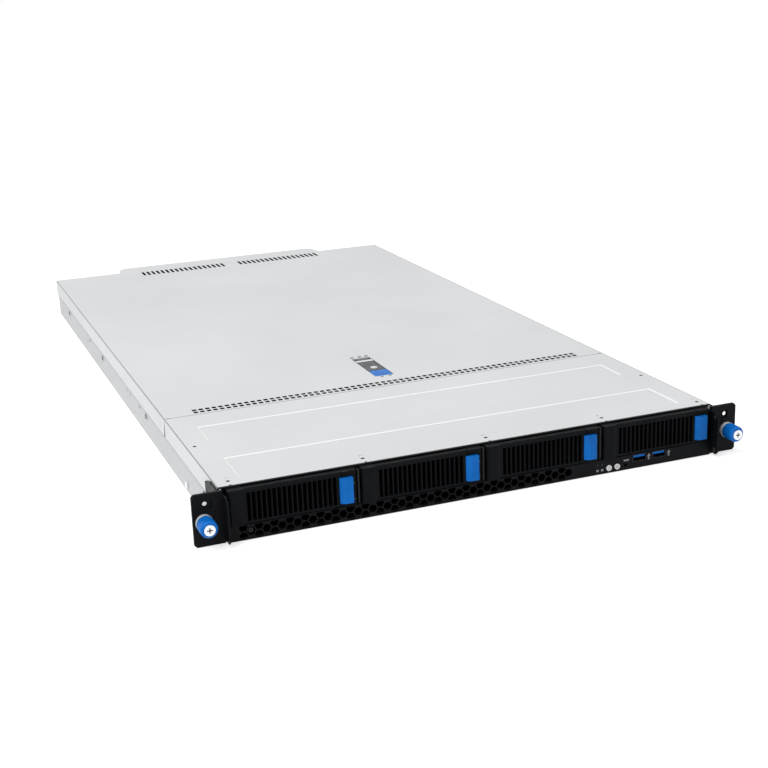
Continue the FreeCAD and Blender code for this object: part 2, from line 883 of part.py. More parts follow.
def make_tray(index):
    body = new_body("tray_%d" % (index + 1))
    wide = d.tray_width
    base = d.tray_base
    front = d.sled_front
    rear = d.sled_rear
    pad(body, "z", base, base + d.sled_floor, rectangle(0, wide, front, rear))
    side = polygon((front, base), (rear, base), (rear, base + d.rail_ramp),
                   (rear - d.rail_ramp, base + d.rail_height), (front, base + d.rail_height))
    pad(body, "x", 0, d.sled_gauge, side)
    pad(body, "x", wide - d.sled_gauge, wide, side)
    cap = d.handle_length + d.run_gap
    pad(body, "z", base, d.tray_top,
        polygon((cap, BEZEL_FRONT), (wide - 1, BEZEL_FRONT), (wide, BEZEL_FRONT + 1),
                (wide, d.cap_rear), (cap, d.cap_rear)))
    cavity = d.release_start + d.release_width + d.run_gap
    pocket(body, "y", BEZEL_FRONT, BEZEL_FRONT + d.latch_cavity,
           rectangle(cap, cavity, d.release_base - d.run_gap,
                     d.release_base + d.release_height + d.run_gap))
    arm = d.arm_radius
    nose = arm / 2
    half = d.arm_height / 2
    x = d.hinge_inset
    y = -d.hinge_depth
    pad(body, "z", TRAY_MIDDLE - half, TRAY_MIDDLE + half,
        polygon((0, d.cap_rear), (0, front), (x - arm, front), (x - arm, y - nose), (x - nose, y - arm),
                (x + nose, y - arm), (x + arm, y - nose), (x + arm, d.cap_rear)))
    pad(body, "z", base + half, d.tray_top - half, circle(x, y, d.pin_radius))
    edge = d.floor_margin
    first = d.floor_hole_front
    second = first + d.floor_hole_length + d.floor_rib
    pocket(body, "z", base, base + d.sled_floor,
           rectangle(edge, wide - edge, first, first + d.floor_hole_length),
           rectangle(edge, wide - edge, second, rear - edge))
    return keep(place(body, tray_left(index)))


def make_tray_handle(index):
    body = new_body("handle_%d" % (index + 1))
    base = d.tray_base
    top = d.tray_top
    front = BEZEL_FRONT
    back = front + d.bezel_depth
    wide = d.knuckle_width
    curve = d.knuckle_round
    pad(body, "x", wide, d.handle_length,
        polygon((front + d.handle_edge, base), (back, base), (back, top), (front + curve, top),
                (front, top - curve), (front, base + d.handle_edge)))
    proud = front - d.knuckle_proud
    pad(body, "z", base, top,
        polygon((0, d.knuckle_back), (0, proud + curve), (curve, proud),
                (wide - d.knuckle_slope, proud), (wide, front), (wide, d.knuckle_back)))
    slot = pocket(body, "y", front, back,
                  rectangle(d.slot_start, d.slot_start + d.slot_width, d.slot_base,
                            d.slot_base + d.slot_height))
    row_of(body, [slot], d.slot_pitch, SLOT_COUNT)
    half = d.arm_height / 2
    room = d.arm_radius + d.hinge_depth + d.run_gap
    pocket(body, "z", TRAY_MIDDLE - half - d.run_gap, TRAY_MIDDLE + half + d.run_gap,
           rectangle(0, wide, -room, d.knuckle_back))
    pocket(body, "z", base, top - half + d.run_gap,
           circle(d.hinge_inset, -d.hinge_depth, d.pin_radius + d.pin_clearance))
    pocket(body, "y", front, back,
           rectangle(d.release_start - d.run_gap, d.handle_length, d.release_base - d.run_gap,
                     d.release_base + d.release_height + d.run_gap))
    return keep(place(body, tray_left(index)))


def make_release(index):
    body = new_body("release_%d" % (index + 1))
    x0 = d.release_start
    x1 = x0 + d.release_width
    front = BEZEL_FRONT - d.release_proud
    back = -d.release_back
    pad(body, "z", d.release_base, d.release_base + d.release_height,
        polygon((x0, back), (x0, front + d.release_side),
                (x0 + d.release_bevel, front + d.release_bevel_depth), (x0 + d.release_nose, front),
                (x1, front), (x1, back)))
    return keep(place(body, tray_left(index)))


def make_drive(index):
    body = new_body("drive_%d" % (index + 1))
    half = d.drive_width / 2
    base = d.tray_base + d.sled_floor
    front = d.drive_front
    rear = front + d.drive_length
    top = base + d.drive_height
    step = top - d.drive_step
    rim = d.drive_rim
    taper = d.drive_taper
    inner = half - rim
    pad(body, "z", base, step, rectangle(-half, half, front, rear))
    pad(body, "z", step, top,
        polygon((-inner, front + rim), (inner, front + rim), (inner, rear - rim - taper),
                (inner - taper, rear - rim), (-inner + taper, rear - rim),
                (-inner, rear - rim - taper)))
    room = d.plug_room
    mouth = d.plug_half_width + room
    pocket(body, "y", rear - d.plug_reach - room, rear,
           rectangle(-mouth, mouth, base, base + d.plug_height + d.plug_headroom))
    return keep(place(body, tray_left(index) + d.tray_width / 2))


# ---------------------------------------------------------------- backplane and fans
def make_backplane():
    body = new_body("backplane")
    front = d.cage_rear
    half = CAGE_OUT - d.cage_gauge - 2 * d.divider_gauge
    low = d.cage_floor + d.cage_gauge + d.run_gap
    pad(body, "y", front, front + d.board_gauge, rectangle(-half, half, low, d.cage_top - d.backplane_drop))
    left = tray_left(0) + d.tray_width / 2
    hole = pocket(body, "y", front, front + d.board_gauge,
                  rectangle(left - d.air_hole_half, left + d.air_hole_half,
                            d.tray_base + d.air_hole_base, d.cage_top - d.air_hole_drop))
    row_of(body, [hole], d.bay_pitch, TRAY_COUNT)
    plugs = []
    for index in range(TRAY_COUNT):
        x = tray_left(index) + d.tray_width / 2
        z = d.tray_base + d.sled_floor + d.plug_room
        plugs.append(block("drive_plug_%d" % (index + 1), x - d.plug_half_width,
                           x + d.plug_half_width, d.drive_front + d.drive_length - d.plug_reach,
                           front, z, z + d.plug_height))
    keep(body)
    return keep(group("drive_connectors", *plugs))


def fan_x(index):
    """Three fans to each side of the cover latch, counted from the left."""
    rank = index - FAN_COUNT // 2
    if rank < 0:
        return -(d.fan_inner - d.fan_pitch * (rank + 1))
    return d.fan_inner + d.fan_pitch * rank


def make_fans():
    cage = new_body("fan_cage")
    wall = d.cage_gauge
    front = d.fan_front - d.fan_wall
    rear = d.fan_front + d.fan_length + d.fan_wall
    base = d.base_gauge
    high = d.cage_top
    floor = base + wall
    pad(cage, "x", -WALL_IN + d.run_gap, WALL_IN - d.run_gap,
        polygon((front - wall, base), (rear + wall, base), (rear + wall, high), (rear, high),
                (rear, floor), (front, floor), (front, high), (front - wall, high)))
    reach = d.fan_size / 2 - d.fan_wall
    pocket(cage, "y", front - wall, rear + wall,
           *[rectangle(fan_x(index) - reach, fan_x(index) + reach, floor + d.fan_wall,
                       high - d.fan_wall) for index in range(FAN_COUNT)])
    pocket(cage, "y", front - wall, rear + wall,
           rectangle(d.latch_place - PAN_HALF, d.latch_place + PAN_HALF,
                     LID_UNDER - d.latch_depth - d.run_gap, high))
    keep(cage)

    frame = new_body("fan_frame")
    half = d.fan_size / 2
    pad(frame, "y", 0, d.fan_length, rectangle(-half, half, -half, half))
    pocket(frame, "y", 0, d.fan_length, ring(0, 0, d.fan_bore, 12))
    spider = d.fan_length - d.spider_inset
    reach = d.fan_bore
    hub = d.spider_plate
    arm = d.spider_arm
    pad(frame, "y", spider, spider + d.spider_gauge,
        polygon((-reach, -arm), (-hub, -arm), (-hub, -hub), (hub, -hub), (hub, -arm), (reach, -arm),
                (reach, arm), (hub, arm), (hub, hub), (-hub, hub), (-hub, arm), (-reach, arm)))
    pad(frame, "y", spider - d.hub_cup, spider, ring(0, 0, d.axle_radius, 8))
    frames = [copy_at("fan_frame_%d" % (index + 1), frame, fan_x(index), d.fan_front, FAN_MIDDLE)
              for index in range(FAN_COUNT)]
    keep(group("fan_frames", *frames))

    for index in range(FAN_COUNT):
        make_rotor(index, spider - d.rotor_gap)


def make_rotor(index, rear):
    name = "fan_rotor_%d" % (index + 1)
    hub = new_body(name + "_hub")
    pad(hub, "y", d.hub_front, rear, ring(0, 0, d.fan_hub, 10))
    pocket(hub, "y", rear - d.hub_cup, rear, ring(0, 0, d.axle_radius + d.run_gap, 8))
    blades = []
    for turn in range(BLADE_COUNT):
        blade = doc.addObject("Part::Box", "%s_blade_%d" % (name, turn + 1))
        bind(blade, "Length", d.blade_gauge)
        bind(blade, "Width", d.blade_chord)
        bind(blade, "Height", d.fan_tip - d.blade_root)
        spin = Rotation(Vector(0, 1, 0), 360.0 / BLADE_COUNT * turn)
        whole = spin.multiply(Rotation(Vector(0, 0, 1), BLADE_TILT))
        corner = Vector(-d.blade_gauge.value / 2, -d.blade_chord.value / 2, d.blade_root.value)
        blade.Placement = Placement(whole.multVec(corner) + Vector(0, d.blade_middle.value, 0), whole)
        blades.append(blade)
    rotor = fuse(name, hub, *blades)
    rotor.Label = name
    return keep(place(rotor, fan_x(index), d.fan_front, FAN_MIDDLE))


# ---------------------------------------------------------------- main board
def make_main_board():
    board = new_body("motherboard")
    half = d.board_half_width
    tail = d.board_tail_half
    rear = PANEL_REAR - d.wall_gauge - d.board_setback
    pad(board, "z", d.board_base, BOARD_TOP,
        polygon((-half, d.board_front), (half, d.board_front), (half, d.board_step),
                (tail, d.board_step), (tail, rear), (-tail, rear), (-tail, d.board_step),
                (-half, d.board_step)))
    keep(board)

    sockets = []
    top = BOARD_TOP + d.socket_height
    for side in (-1, 1):
        x = d.cpu_place * side
        y = d.sink_front + d.sink_length / 2
        sockets.append(block("cpu_socket_%d" % (side + 2), x - d.socket_half_width,
                             x + d.socket_half_width, y - d.socket_half_length,
                             y + d.socket_half_length, BOARD_TOP, top))
        dock = d.psu_place * side
        sockets.append(block("power_dock_%d" % (side + 2), dock - d.dock_half_width,
                             dock + d.dock_half_width, PSU_DOCK - d.dock_length, PSU_DOCK,
                             BOARD_TOP, BOARD_TOP + d.dock_height))
    slot = new_body("dimm_slot")
    wide = d.slot_half
    mouth = d.slot_mouth
    end = d.dimm_length + d.slot_end * 2
    pad(slot, "y", 0, end,
        polygon((-wide, 0), (wide, 0), (wide, d.slot_wall), (mouth, d.slot_wall),
                (mouth, d.slot_floor), (-mouth, d.slot_floor), (-mouth, d.slot_wall),
                (-wide, d.slot_wall)))
    clip = d.slot_end - d.run_gap
    pad(slot, "z", 0, d.slot_clip, rectangle(-wide, wide, 0, clip),
        rectangle(-wide, wide, end - clip, end))
    module = new_body("dimm_module")
    thick = d.dimm_gauge / 2
    pad(module, "x", -thick, thick,
        rectangle(d.dimm_clearance, d.dimm_length - d.dimm_clearance, 0, d.dimm_height))
    modules = []
    for bank in (-d.bank_outer, -d.bank_inner, d.bank_inner, d.bank_outer):
        for rank in range(DIMMS_PER_BANK):
            x = bank + d.dimm_pitch * (rank - (DIMMS_PER_BANK - 1) / 2)
            number = len(modules) + 1
            sockets.append(copy_at("dimm_slot_%d" % number, slot, x, d.dimm_front - d.slot_end,
                                   BOARD_TOP))
            modules.append(copy_at("dimm_module_%d" % number, module, x, d.dimm_front,
                                   BOARD_TOP + d.slot_floor + d.fit_gap))
    keep(group("board_sockets", *sockets))
    keep(group("dimm_modules", *modules))

    sink = new_body("heatsink")
    wide = d.sink_width / 2
    pad(sink, "z", 0, d.sink_foot, rectangle(-wide, wide, 0, d.sink_length))
    fin = pad(sink, "z", d.sink_foot, d.sink_height,
              rectangle(-wide, -wide + d.fin_gauge, 0, d.sink_length))
    row_of(sink, [fin], d.fin_pitch, FIN_COUNT)
    sinks = [copy_at("heatsink_%s" % word, sink, d.cpu_place * side, d.sink_front, top)
             for word, side in (("left", -1), ("right", 1))]
    keep(group("cpu_heatsinks", *sinks))


def make_air_shroud():
    body = new_body("air_shroud")
    top = LID_UNDER - d.run_gap
    under = top - d.shroud_gauge
    edge = d.shroud_margin
    wall = d.cage_gauge
    outer = d.cpu_place + d.sink_width / 2 + edge
    inner = d.cpu_place - d.sink_width / 2 - edge
    front = d.fan_front + d.fan_length + edge
    rear = d.shroud_rear
    pad(body, "z", under, top, rectangle(-outer, outer, front, rear))
    for side in (outer, inner + wall):
        skirt = pad(body, "x", side - wall, side,
                    rectangle(d.board_front + edge, rear, BOARD_TOP, under))
        mirror_x(body, [skirt])
    pocket(body, "z", under, top,
           rectangle(-inner + edge, inner - edge, d.dimm_front - edge * 2, rear - edge * 4))
    pocket(body, "z", under, top,
           rectangle(d.latch_place - PAN_HALF, d.latch_place + PAN_HALF, front,
                     d.latch_rear + d.pan_gauge + d.run_gap))
    return keep(body)


# ---------------------------------------------------------------- rear: risers, ports, supplies
def make_risers():
    cage = new_body("riser_bracket")
    left = d.bay_left
    middle_left = d.bay_left + d.bay_width
    middle_right = d.bay_right
    right = d.bay_right + d.bay_width
    floor = d.riser_floor
    high = d.cage_top - d.run_gap
    rear = PANEL_REAR - d.wall_gauge
    gauge = d.cage_gauge
    edge = d.bay_margin
    pad(cage, "y", d.bay_front, rear,
        polygon((left, floor), (right, floor), (right, high), (right - gauge, high),
                (right - gauge, floor + gauge), (left + gauge, floor + gauge), (left + gauge, high),
                (left, high)))
    card_rear = d.riser_front + d.riser_length
    pocket(cage, "z", floor, floor + gauge,
           rectangle(middle_left + edge / 2, middle_right - edge / 2, d.riser_front - edge,
                     card_rear + edge))
    leg = d.riser_leg
    pad(cage, "z", BOARD_TOP, floor,
        rectangle(left, left + gauge, d.bay_front + edge, d.bay_front + edge + leg),
        rectangle(right - gauge, right, d.bay_front + edge, d.bay_front + edge + leg),
        rectangle(middle_left + edge, middle_right - edge, rear - leg * 2, rear - leg))
    blanks = [block("slot_blank_" + word, x0 + edge, x0 + d.bay_width - edge, rear - gauge, rear,
                    floor + gauge + d.fit_gap, high)
              for word, x0 in (("left", left), ("right", middle_right))]
    keep(group("riser_cage", cage, *blanks))

    aside = d.riser_aside
    cards = [block("riser_board_" + word, x0, x0 + d.board_gauge, d.riser_front, card_rear,
                   BOARD_TOP, high - edge)
             for word, x0 in (("left", middle_left + aside),
                              ("right", middle_right - aside - d.board_gauge))]
    keep(group("riser_cards", *cards))


def make_rear_ports():
    shells = []
    rear = PANEL_REAR + d.port_reach
    wall = d.port_gauge
    for word, (x0, x1, z0, z1) in port_windows().items():
        outer = block("port_%s_shell" % word, x0, x1, rear - d.port_length, rear, z0, z1)
        inner = block("port_%s_mouth" % word, x0 + wall, x1 - wall, rear - d.port_depth, rear + 1,
                      z0 + wall, z1 - wall)
        shells.append(cut("port_" + word, outer, inner))
    return keep(group("rear_ports", *shells))


def make_power_supply(word, side):
    body = new_body("psu_" + word)
    half = PSU_HALF
    rear = d.body_depth - d.psu_inset
    base = d.psu_base
    top = base + d.psu_height
    middle = base + d.psu_height / 2
    pad(body, "y", d.psu_front, rear, rectangle(-half, half, base, top))

    fan = d.psu_fan_place
    bore = d.psu_fan_radius
    reach = bore + d.psu_guard_seat
    bar = d.psu_guard
    pocket(body, "y", rear - d.psu_fan_depth, rear, ring(fan, middle, bore, 24))
    guard = rear - d.psu_guard_gauge
    pad(body, "y", guard, rear, rectangle(fan - reach, fan + reach, middle - bar, middle + bar))
    pad(body, "y", guard, rear, rectangle(fan - bar, fan + bar, middle - reach, middle + reach))

    left = d.inlet_left
    tall = d.inlet_height / 2
    pocket(body, "y", rear - d.inlet_depth, rear,
           rectangle(left, left + d.inlet_width, middle - tall, middle + tall))
    blade = d.inlet_pin_height / 2
    starts = [d.inlet_pin_left + d.inlet_pin_pitch * n for n in range(3)]
    pad(body, "y", rear - d.inlet_depth, rear - d.inlet_pin_setback,
        *[rectangle(x, x + d.inlet_pin_width, middle - blade, middle + blade) for x in starts])

    end = rear + d.psu_handle_reach
    low = base + d.psu_handle_margin
    high = top - d.psu_handle_margin
    bar = d.psu_handle_gauge
    bend = bar / 2
    start = d.psu_handle_left
    pad(body, "x", start, start + d.psu_handle_width,
        polygon((rear, low), (end - bend, low), (end, low + bend), (end, high - bend),
                (end - bend, high), (rear, high), (rear, high - bar), (end - bar, high - bar),
                (end - bar, low + bar), (rear, low + bar)))
    keep(place(body, d.psu_place * side))

    tab = new_body("psu_%s_release" % word)
    tall = d.tab_height / 2
    edge = half - 1.2
    pad(tab, "z", middle - tall, middle + tall,
        polygon((edge - 1.2, rear + d.tab_seat), (edge, rear + d.tab_seat), (edge, rear + 12),
                (edge - 1.6, rear + 16), (edge - 2.6, rear + 15.4), (edge - 1.2, rear + 11.6)))
    keep(place(tab, d.psu_place * side))


def make_psu_guides():
    walls = []
    for word, side in (("left", -1), ("right", 1)):
        edge = PARTITION_OUT * side
        x0 = edge if side < 0 else edge - d.wall_gauge
        walls.append(block("psu_guide_" + word, x0, x0 + d.wall_gauge, PSU_DOCK + d.guide_gap,
                           SHELL_REAR - d.wall_gauge - d.fit_gap / 2, d.base_gauge, d.cage_top))
    return keep(group("psu_guides", *walls))


# ---------------------------------------------------------------- front controls
def make_front_io():
    front = d.io_board_front
    board = block("io_board_plate", d.io_board_left, d.io_board_right, front, front + d.board_gauge,
                  d.io_board_base, d.cage_floor - d.run_gap)
    wide = d.switch_width / 2
    tall = d.switch_height / 2
    switch_front = front - d.switch_depth
    switches = [block("switch_" + word, x - wide, x + wide, switch_front, front,
                      d.button_height - tall, d.button_height + tall)
                for word, x in (("power", d.power_place), ("ident", d.ident_place))]
    keep(label_as(fuse("io_board_solid", board, *switches), "front_io_board"))

    shell = new_body("usb_shell")
    half = d.usb_width / 2
    low = d.usb_base
    top = low + d.usb_height
    gauge = d.usb_gauge
    mouth = FASCIA_FRONT + d.fit_gap
    back = front - d.usb_wall
    pad(shell, "y", mouth, front, rectangle(-half, half, low, top))
    pocket(shell, "y", mouth, back, rectangle(-half + gauge, half - gauge, low + gauge, top - gauge))
    tongue = top - d.usb_tongue_drop
    pad(shell, "y", mouth + d.usb_tongue_setback, back,
        rectangle(-d.usb_tongue_half, d.usb_tongue_half, tongue - d.usb_tongue_gauge, tongue))
    keep(group("usb_ports", copy_at("usb_port_1", shell, d.usb_first),
               copy_at("usb_port_2", shell, d.usb_first + d.usb_pitch)))

    stem = d.button_stem / 2
    for name, x in (("power_button", d.power_place), ("id_button", d.ident_place)):
        button = new_body(name)
        behind = FASCIA_BACK + d.button_travel
        pad(button, "y", FASCIA_FRONT - d.button_proud, behind, circle(0, 0, d.button_radius))
        pad(button, "y", behind, switch_front - d.button_travel, rectangle(-stem, stem, -stem, stem))
        keep(place(button, x, 0, d.button_height))


# ---------------------------------------------------------------- rack ears and thumbscrews
def ear_points(points, side):
    """Mirror plan or front outline points for the left ear."""
    return [(size(u) * side, v) for u, v in points]


def make_ear(word, side):
    body = new_body(word + "_ear")
    outer = d.ear_span / 2
    inner = HALF + d.fit_gap / 2
    plate = inner + d.ear_plate_gauge
    low = d.ear_base
    high = d.ear_top
    trim = d.ear_corner
    pad(body, "y", EAR_FRONT, 0,
        polygon(*ear_points([(WALL_IN, low), (outer - trim, low), (outer, low + trim),
                             (outer, high - trim), (outer - trim, high),
                             (WALL_IN, high)], side)))
    rear = d.ear_plate_depth
    edge = high - d.ear_plate_step
    side_plate = polygon((0, low), (rear, low + d.ear_plate_rise), (rear, high - d.ear_plate_drop),
                         (rear - d.ear_plate_slope, edge), (0, edge))
    x0, x1 = (inner, plate) if side > 0 else (-plate, -inner)
    pad(body, "x", x0, x1, side_plate)
    tip = -d.guard_reach
    corner = d.guard_corner
    guard = polygon((tip + corner, d.guard_base), (d.guard_rear, d.guard_base + corner),
                    (d.guard_rear, d.guard_top), (tip + d.guard_run, d.guard_top),
                    (tip, d.guard_top - d.guard_drop), (tip, d.guard_base + corner))
    x0, x1 = (GUARD_IN, WALL_IN) if side > 0 else (-WALL_IN, -GUARD_IN)
    pad(body, "x", x0, x1, guard)
    x0, x1 = (WALL_IN, inner) if side > 0 else (-inner, -WALL_IN)
    pocket(body, "y", -d.ear_relief, 0, rectangle(x0, x1, low, high))
    middle = (SCREW_X - d.window_inset) * side
    half = d.window_width / 2
    low = d.window_base
    pocket(body, "y", EAR_FRONT, EAR_FRONT + d.window_depth,
           rectangle(middle - half, middle + half, low, low + d.window_height))
    aside = (SCREW_X - d.window_inset / 2) * side
    pocket(body, "y", EAR_FRONT, 0,
           circle(aside, low + d.window_height / 2, d.window_hole_radius),
           circle(SCREW_X * side, d.screw_height, d.stud_radius + d.screw_clearance))
    return keep(body)


def make_thumbscrews():
    collar = new_body("collar")
    length = d.collar_length
    bore = d.neck_radius + d.collar_clearance
    turned(collar, polygon((bore, 0), (d.collar_radius, 0), (d.collar_radius, -length),
                           (bore, -length)))
    rings = [copy_at("collar_" + word, collar, SCREW_X * side, EAR_FRONT, d.screw_height)
             for word, side in (("left", -1), ("right", 1))]
    keep(group("thumbscrew_collars", *rings))

    back = -length - d.knob_gap
    front = back - d.knob_length
    neck = d.neck_radius
    head = d.head_radius
    face = front - d.head_height
    slope = d.knob_chamfer
    thread = d.ear_gauge + d.thread_relief
    tip = d.ear_gauge + d.stud_reach
    wide = d.recess_width / 2
    reach = d.recess_reach
    for word, side in (("left", -1), ("right", 1)):
        knob = new_body(word + "_knob")
        bore = neck + d.pin_clearance
        turned(knob, polygon((bore, back), (d.knob_radius, back), (d.knob_radius, front + slope),
                             (d.knob_radius - slope, front), (bore, front)))
        screw = new_body(word + "_screw")
        turned(screw, polygon((0, face), (head, face), (head, front), (neck, front), (neck, thread),
                              (d.stud_radius, thread), (d.stud_radius, tip), (0, tip)))
        pocket(screw, "y", face, face + d.recess_depth, rectangle(-reach, reach, -wide, wide))
        pocket(screw, "y", face, face + d.recess_depth, rectangle(-wide, wide, -reach, reach))
        pair = group(word + "_thumbscrew", knob, screw)
        keep(place(pair, SCREW_X * side, EAR_FRONT, d.screw_height))


def make_side_studs():
    studs = []
    for word, side in (("left", -1), ("right", 1)):
        for rank in range(STUDS_PER_SIDE):
            y = d.side_stud_first + d.side_stud_pitch * rank
            x = WALL_OUT if side > 0 else -WALL_OUT - d.side_stud_reach
            studs.append(rod("side_stud_%s_%d" % (word, rank + 1), "x", x, y, d.side_stud_height,
                             d.side_stud_radius, d.side_stud_reach))
    keep(group("rail_studs", *studs))


# ---------------------------------------------------------------- removable cover and its latch
def make_rear_cover():
    body = new_body("rear_cover")
    top = d.chassis_height
    front = d.seam_depth
    corner = d.body_depth
    tail = TAIL_REAR
    root = d.tail_half_width + d.tail_root_aside
    tip = d.tail_half_width - d.tail_tip_inset
    bend = root - d.tail_corner
    bend_rear = tail - d.tail_corner_depth
    pad(body, "z", LID_UNDER, top,
        polygon((-HALF, front), (HALF, front), (HALF, corner), (root, corner),
                (bend, bend_rear), (tip, tail), (-tip, tail), (-bend, bend_rear),
                (-root, corner), (-HALF, corner)))
    flange = pad(body, "x", HALF - d.cover_gauge, HALF,
                 polygon((front, LID_UNDER), (front + d.flange_slope, FLANGE_BASE), (corner, FLANGE_BASE),
                         (corner, LID_UNDER)))
    mirror_x(body, [flange])
    pad(body, "y", tail - d.cover_gauge, tail, rectangle(-tip, tip, LID_UNDER - d.tail_lip, LID_UNDER))
    vent = pocket(body, "z", LID_UNDER, top,
                  rectangle(d.vent_first - d.vent_width / 2, d.vent_first + d.vent_width / 2,
                            d.vent_row - d.vent_length / 2, d.vent_row + d.vent_length / 2))
    row_of(body, [vent], d.vent_pitch, VENT_COUNT)
    back_row = d.vent_row + d.vent_row_pitch
    vent = pocket(body, "z", LID_UNDER, top,
                  rectangle(d.vent_first - d.vent_width / 2, d.vent_first + d.vent_width / 2,
                            back_row - d.vent_length / 2, back_row + d.vent_length / 2))
    row_of(body, [vent], d.vent_pitch, VENT_COUNT)
    for x0 in (d.louvre_left, d.louvre_right):
        slot = pocket(body, "z", LID_UNDER, top,
                      rectangle(x0, x0 + d.louvre_width, d.louvre_row,
                                d.louvre_row + d.louvre_length))
        row_of(body, [slot], d.louvre_pitch, LOUVRE_COUNT)
    far = HALF - d.notch_inset
    near = far - d.notch_width
    notch = front + d.notch_length
    pocket(body, "z", LID_UNDER, top,
           rectangle(d.latch_place - LATCH_HALF, d.latch_place + LATCH_HALF, d.latch_front,
                     d.latch_rear),
           rectangle(near, far, front, notch), rectangle(-far, -near, front, notch))
    return keep(body)


def make_cover_latch():
    pan = new_body("latch_pan")
    half = LATCH_HALF
    wall = d.pan_gauge
    low = LID_UNDER - d.latch_depth
    front = d.latch_front
    rear = d.latch_rear
    height = d.latch_axis_height
    pad(pan, "z", low, LID_UNDER,
        rectangle(-half - wall, half + wall, front - wall, rear + wall))
    pocket(pan, "z", low + wall, LID_UNDER, rectangle(-half, half, front, rear))
    pad(pan, "x", -half - wall, half + wall, circle(LATCH_AXIS, height, d.latch_pin_radius))
    keep(place(pan, d.latch_place))

    lever = new_body("latch_lever")
    wide = half - d.run_gap
    top = LEVER_TOP
    under = LEVER_UNDER
    eye = d.latch_eye
    pad(lever, "x", -wide, wide,
        polygon((GRIP_REAR, under), (LATCH_AXIS - d.lever_swell, under),
                (LATCH_AXIS - eye, height - d.lever_chin), (LATCH_AXIS, height - d.lever_chin),
                (LATCH_AXIS, height + eye), (LATCH_AXIS - d.lever_heel, top), (GRIP_REAR, top)))
    pad(lever, "x", -wide, wide, circle(LATCH_AXIS, height, eye))
    pocket(lever, "x", -wide, wide,
           circle(LATCH_AXIS, height, d.latch_pin_radius + d.pin_clearance))
    pocket(lever, "z", under, top,
           circle(d.lock_aside, d.lock_place, d.lock_radius + d.pin_clearance))
    keep(place(lever, d.latch_place))

    finger = new_body("latch_grip")
    nose = front + d.grip_gap
    curve = d.grip_round
    lip = d.grip_lip
    pad(finger, "x", -wide, wide,
        polygon((GRIP_REAR, under), (GRIP_REAR, top), (nose + curve, top), (nose, top - curve),
                (nose, under - lip), (nose + lip, under - lip), (nose + lip, under)))
    keep(place(finger, d.latch_place))

    lock = new_body("latch_lock")
    high = top + d.lock_proud
    slot = d.lock_slot
    pad(lock, "z", under - slot, high, circle(0, 0, d.lock_radius))
    pocket(lock, "z", high - slot, high,
           rectangle(-d.lock_radius, d.lock_radius, -slot / 2, slot / 2))
    keep(place(lock, d.latch_place + d.lock_aside, d.lock_place, 0))


# ---------------------------------------------------------------- build and write
make_chassis_tray()
make_rear_panel()
make_front_top_panel()
make_front_fascia()
make_drive_cage()
for bay in range(TRAY_COUNT):
    make_tray(bay)
    make_tray_handle(bay)
    make_release(bay)
    make_drive(bay)
make_backplane()
make_fans()
make_main_board()
make_air_shroud()
make_risers()
make_rear_ports()
make_power_supply("left", -1)
make_power_supply("right", 1)
make_psu_guides()
make_front_io()
make_ear("left", -1)
make_ear("right", 1)
make_thumbscrews()
make_side_studs()
make_rear_cover()
make_cover_latch()
doc.recompute()

for item in doc.Objects:
    if "Invalid" in item.State or "Error" in item.State:
        raise RuntimeError("%s (%s) failed: %s" % (item.Name, item.Label, item.State))
for item in PARTS:
    if item.Shape.isNull() or not item.Shape.isValid() or not item.Shape.Solids:
        raise RuntimeError("%s has no valid solid" % item.Label)

os.makedirs("parts", exist_ok=True)
for item in PARTS:
    item.Shape.exportStep(os.path.join("parts", item.Label + ".step"))
print("%d sub-parts written" % len(PARTS))
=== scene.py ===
import bmesh
import bpy
import math
import random
from mathutils import Matrix, Vector


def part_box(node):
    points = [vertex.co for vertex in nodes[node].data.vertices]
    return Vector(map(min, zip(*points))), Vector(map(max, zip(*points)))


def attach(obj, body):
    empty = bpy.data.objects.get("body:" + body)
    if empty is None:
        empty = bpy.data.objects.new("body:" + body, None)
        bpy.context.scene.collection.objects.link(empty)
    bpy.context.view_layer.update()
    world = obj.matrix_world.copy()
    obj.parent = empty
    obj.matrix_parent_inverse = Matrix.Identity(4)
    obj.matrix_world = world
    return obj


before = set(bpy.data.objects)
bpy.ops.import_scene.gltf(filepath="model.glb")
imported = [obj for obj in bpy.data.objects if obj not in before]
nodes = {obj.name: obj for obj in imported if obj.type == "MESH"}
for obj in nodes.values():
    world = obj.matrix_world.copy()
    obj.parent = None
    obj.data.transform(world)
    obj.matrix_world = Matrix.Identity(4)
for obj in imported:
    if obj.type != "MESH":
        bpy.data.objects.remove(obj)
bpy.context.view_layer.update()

MM = 0.001
random.seed(11)


# ---- places read from the frame, in mm
def box_mm(node):
    low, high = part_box(node)
    return low / MM, high / MM


COVER_LOW, COVER_HIGH = box_mm("rear_cover")
LID_TOP = COVER_HIGH.z
SEAM = COVER_LOW.y
SIDE = COVER_HIGH.x
WALL = box_mm("chassis_tray")[1].x
CAGE_SIDE = box_mm("drive_cage")[1].x
FASCIA_FRONT = box_mm("front_fascia")[0].y
BOARD_TOP = box_mm("motherboard")[1].z
PANEL_REAR = box_mm("rear_panel")[1].y

# places that the nodes' boxes don't give, in mm
SCREW_X = 232.55
SCREW_Z = 20
LAMP_X = (104.3, 108.8)
USB_X = (144.9, 164.1)
BAY_PITCH = 107.8
STUD_Y = (275, 500, 725)
STUD_Z = 20
STUD_LENGTH = 1.6
LATCH_X = 2.2
FAN_Z = 22.2
SUPPLY_X = 178
SUPPLY_REAR = 814
SUPPLY_TOP = 41.5
PORT_REAR = 838.6
PORT_DEPTH = 11.8
# Floor heights of the black sheets of painted shade under the bays and the vents.
SHADE_SHEET_LOW = 1.25
SHADE_SHEET_HIGH = 1.45
VENT_SPANS = ((190, 202), (785, 806))
PAN_REAR = 284
TRAY_FACE_REAR = 14.1
DRIVE_FACE_REAR = 16.1

# how far a flat mark is sunk into its face, and how far it stands proud
SUNK = 0.3
PROUD = 0.03

BAYS = range(1, 5)
FANS = range(1, 7)


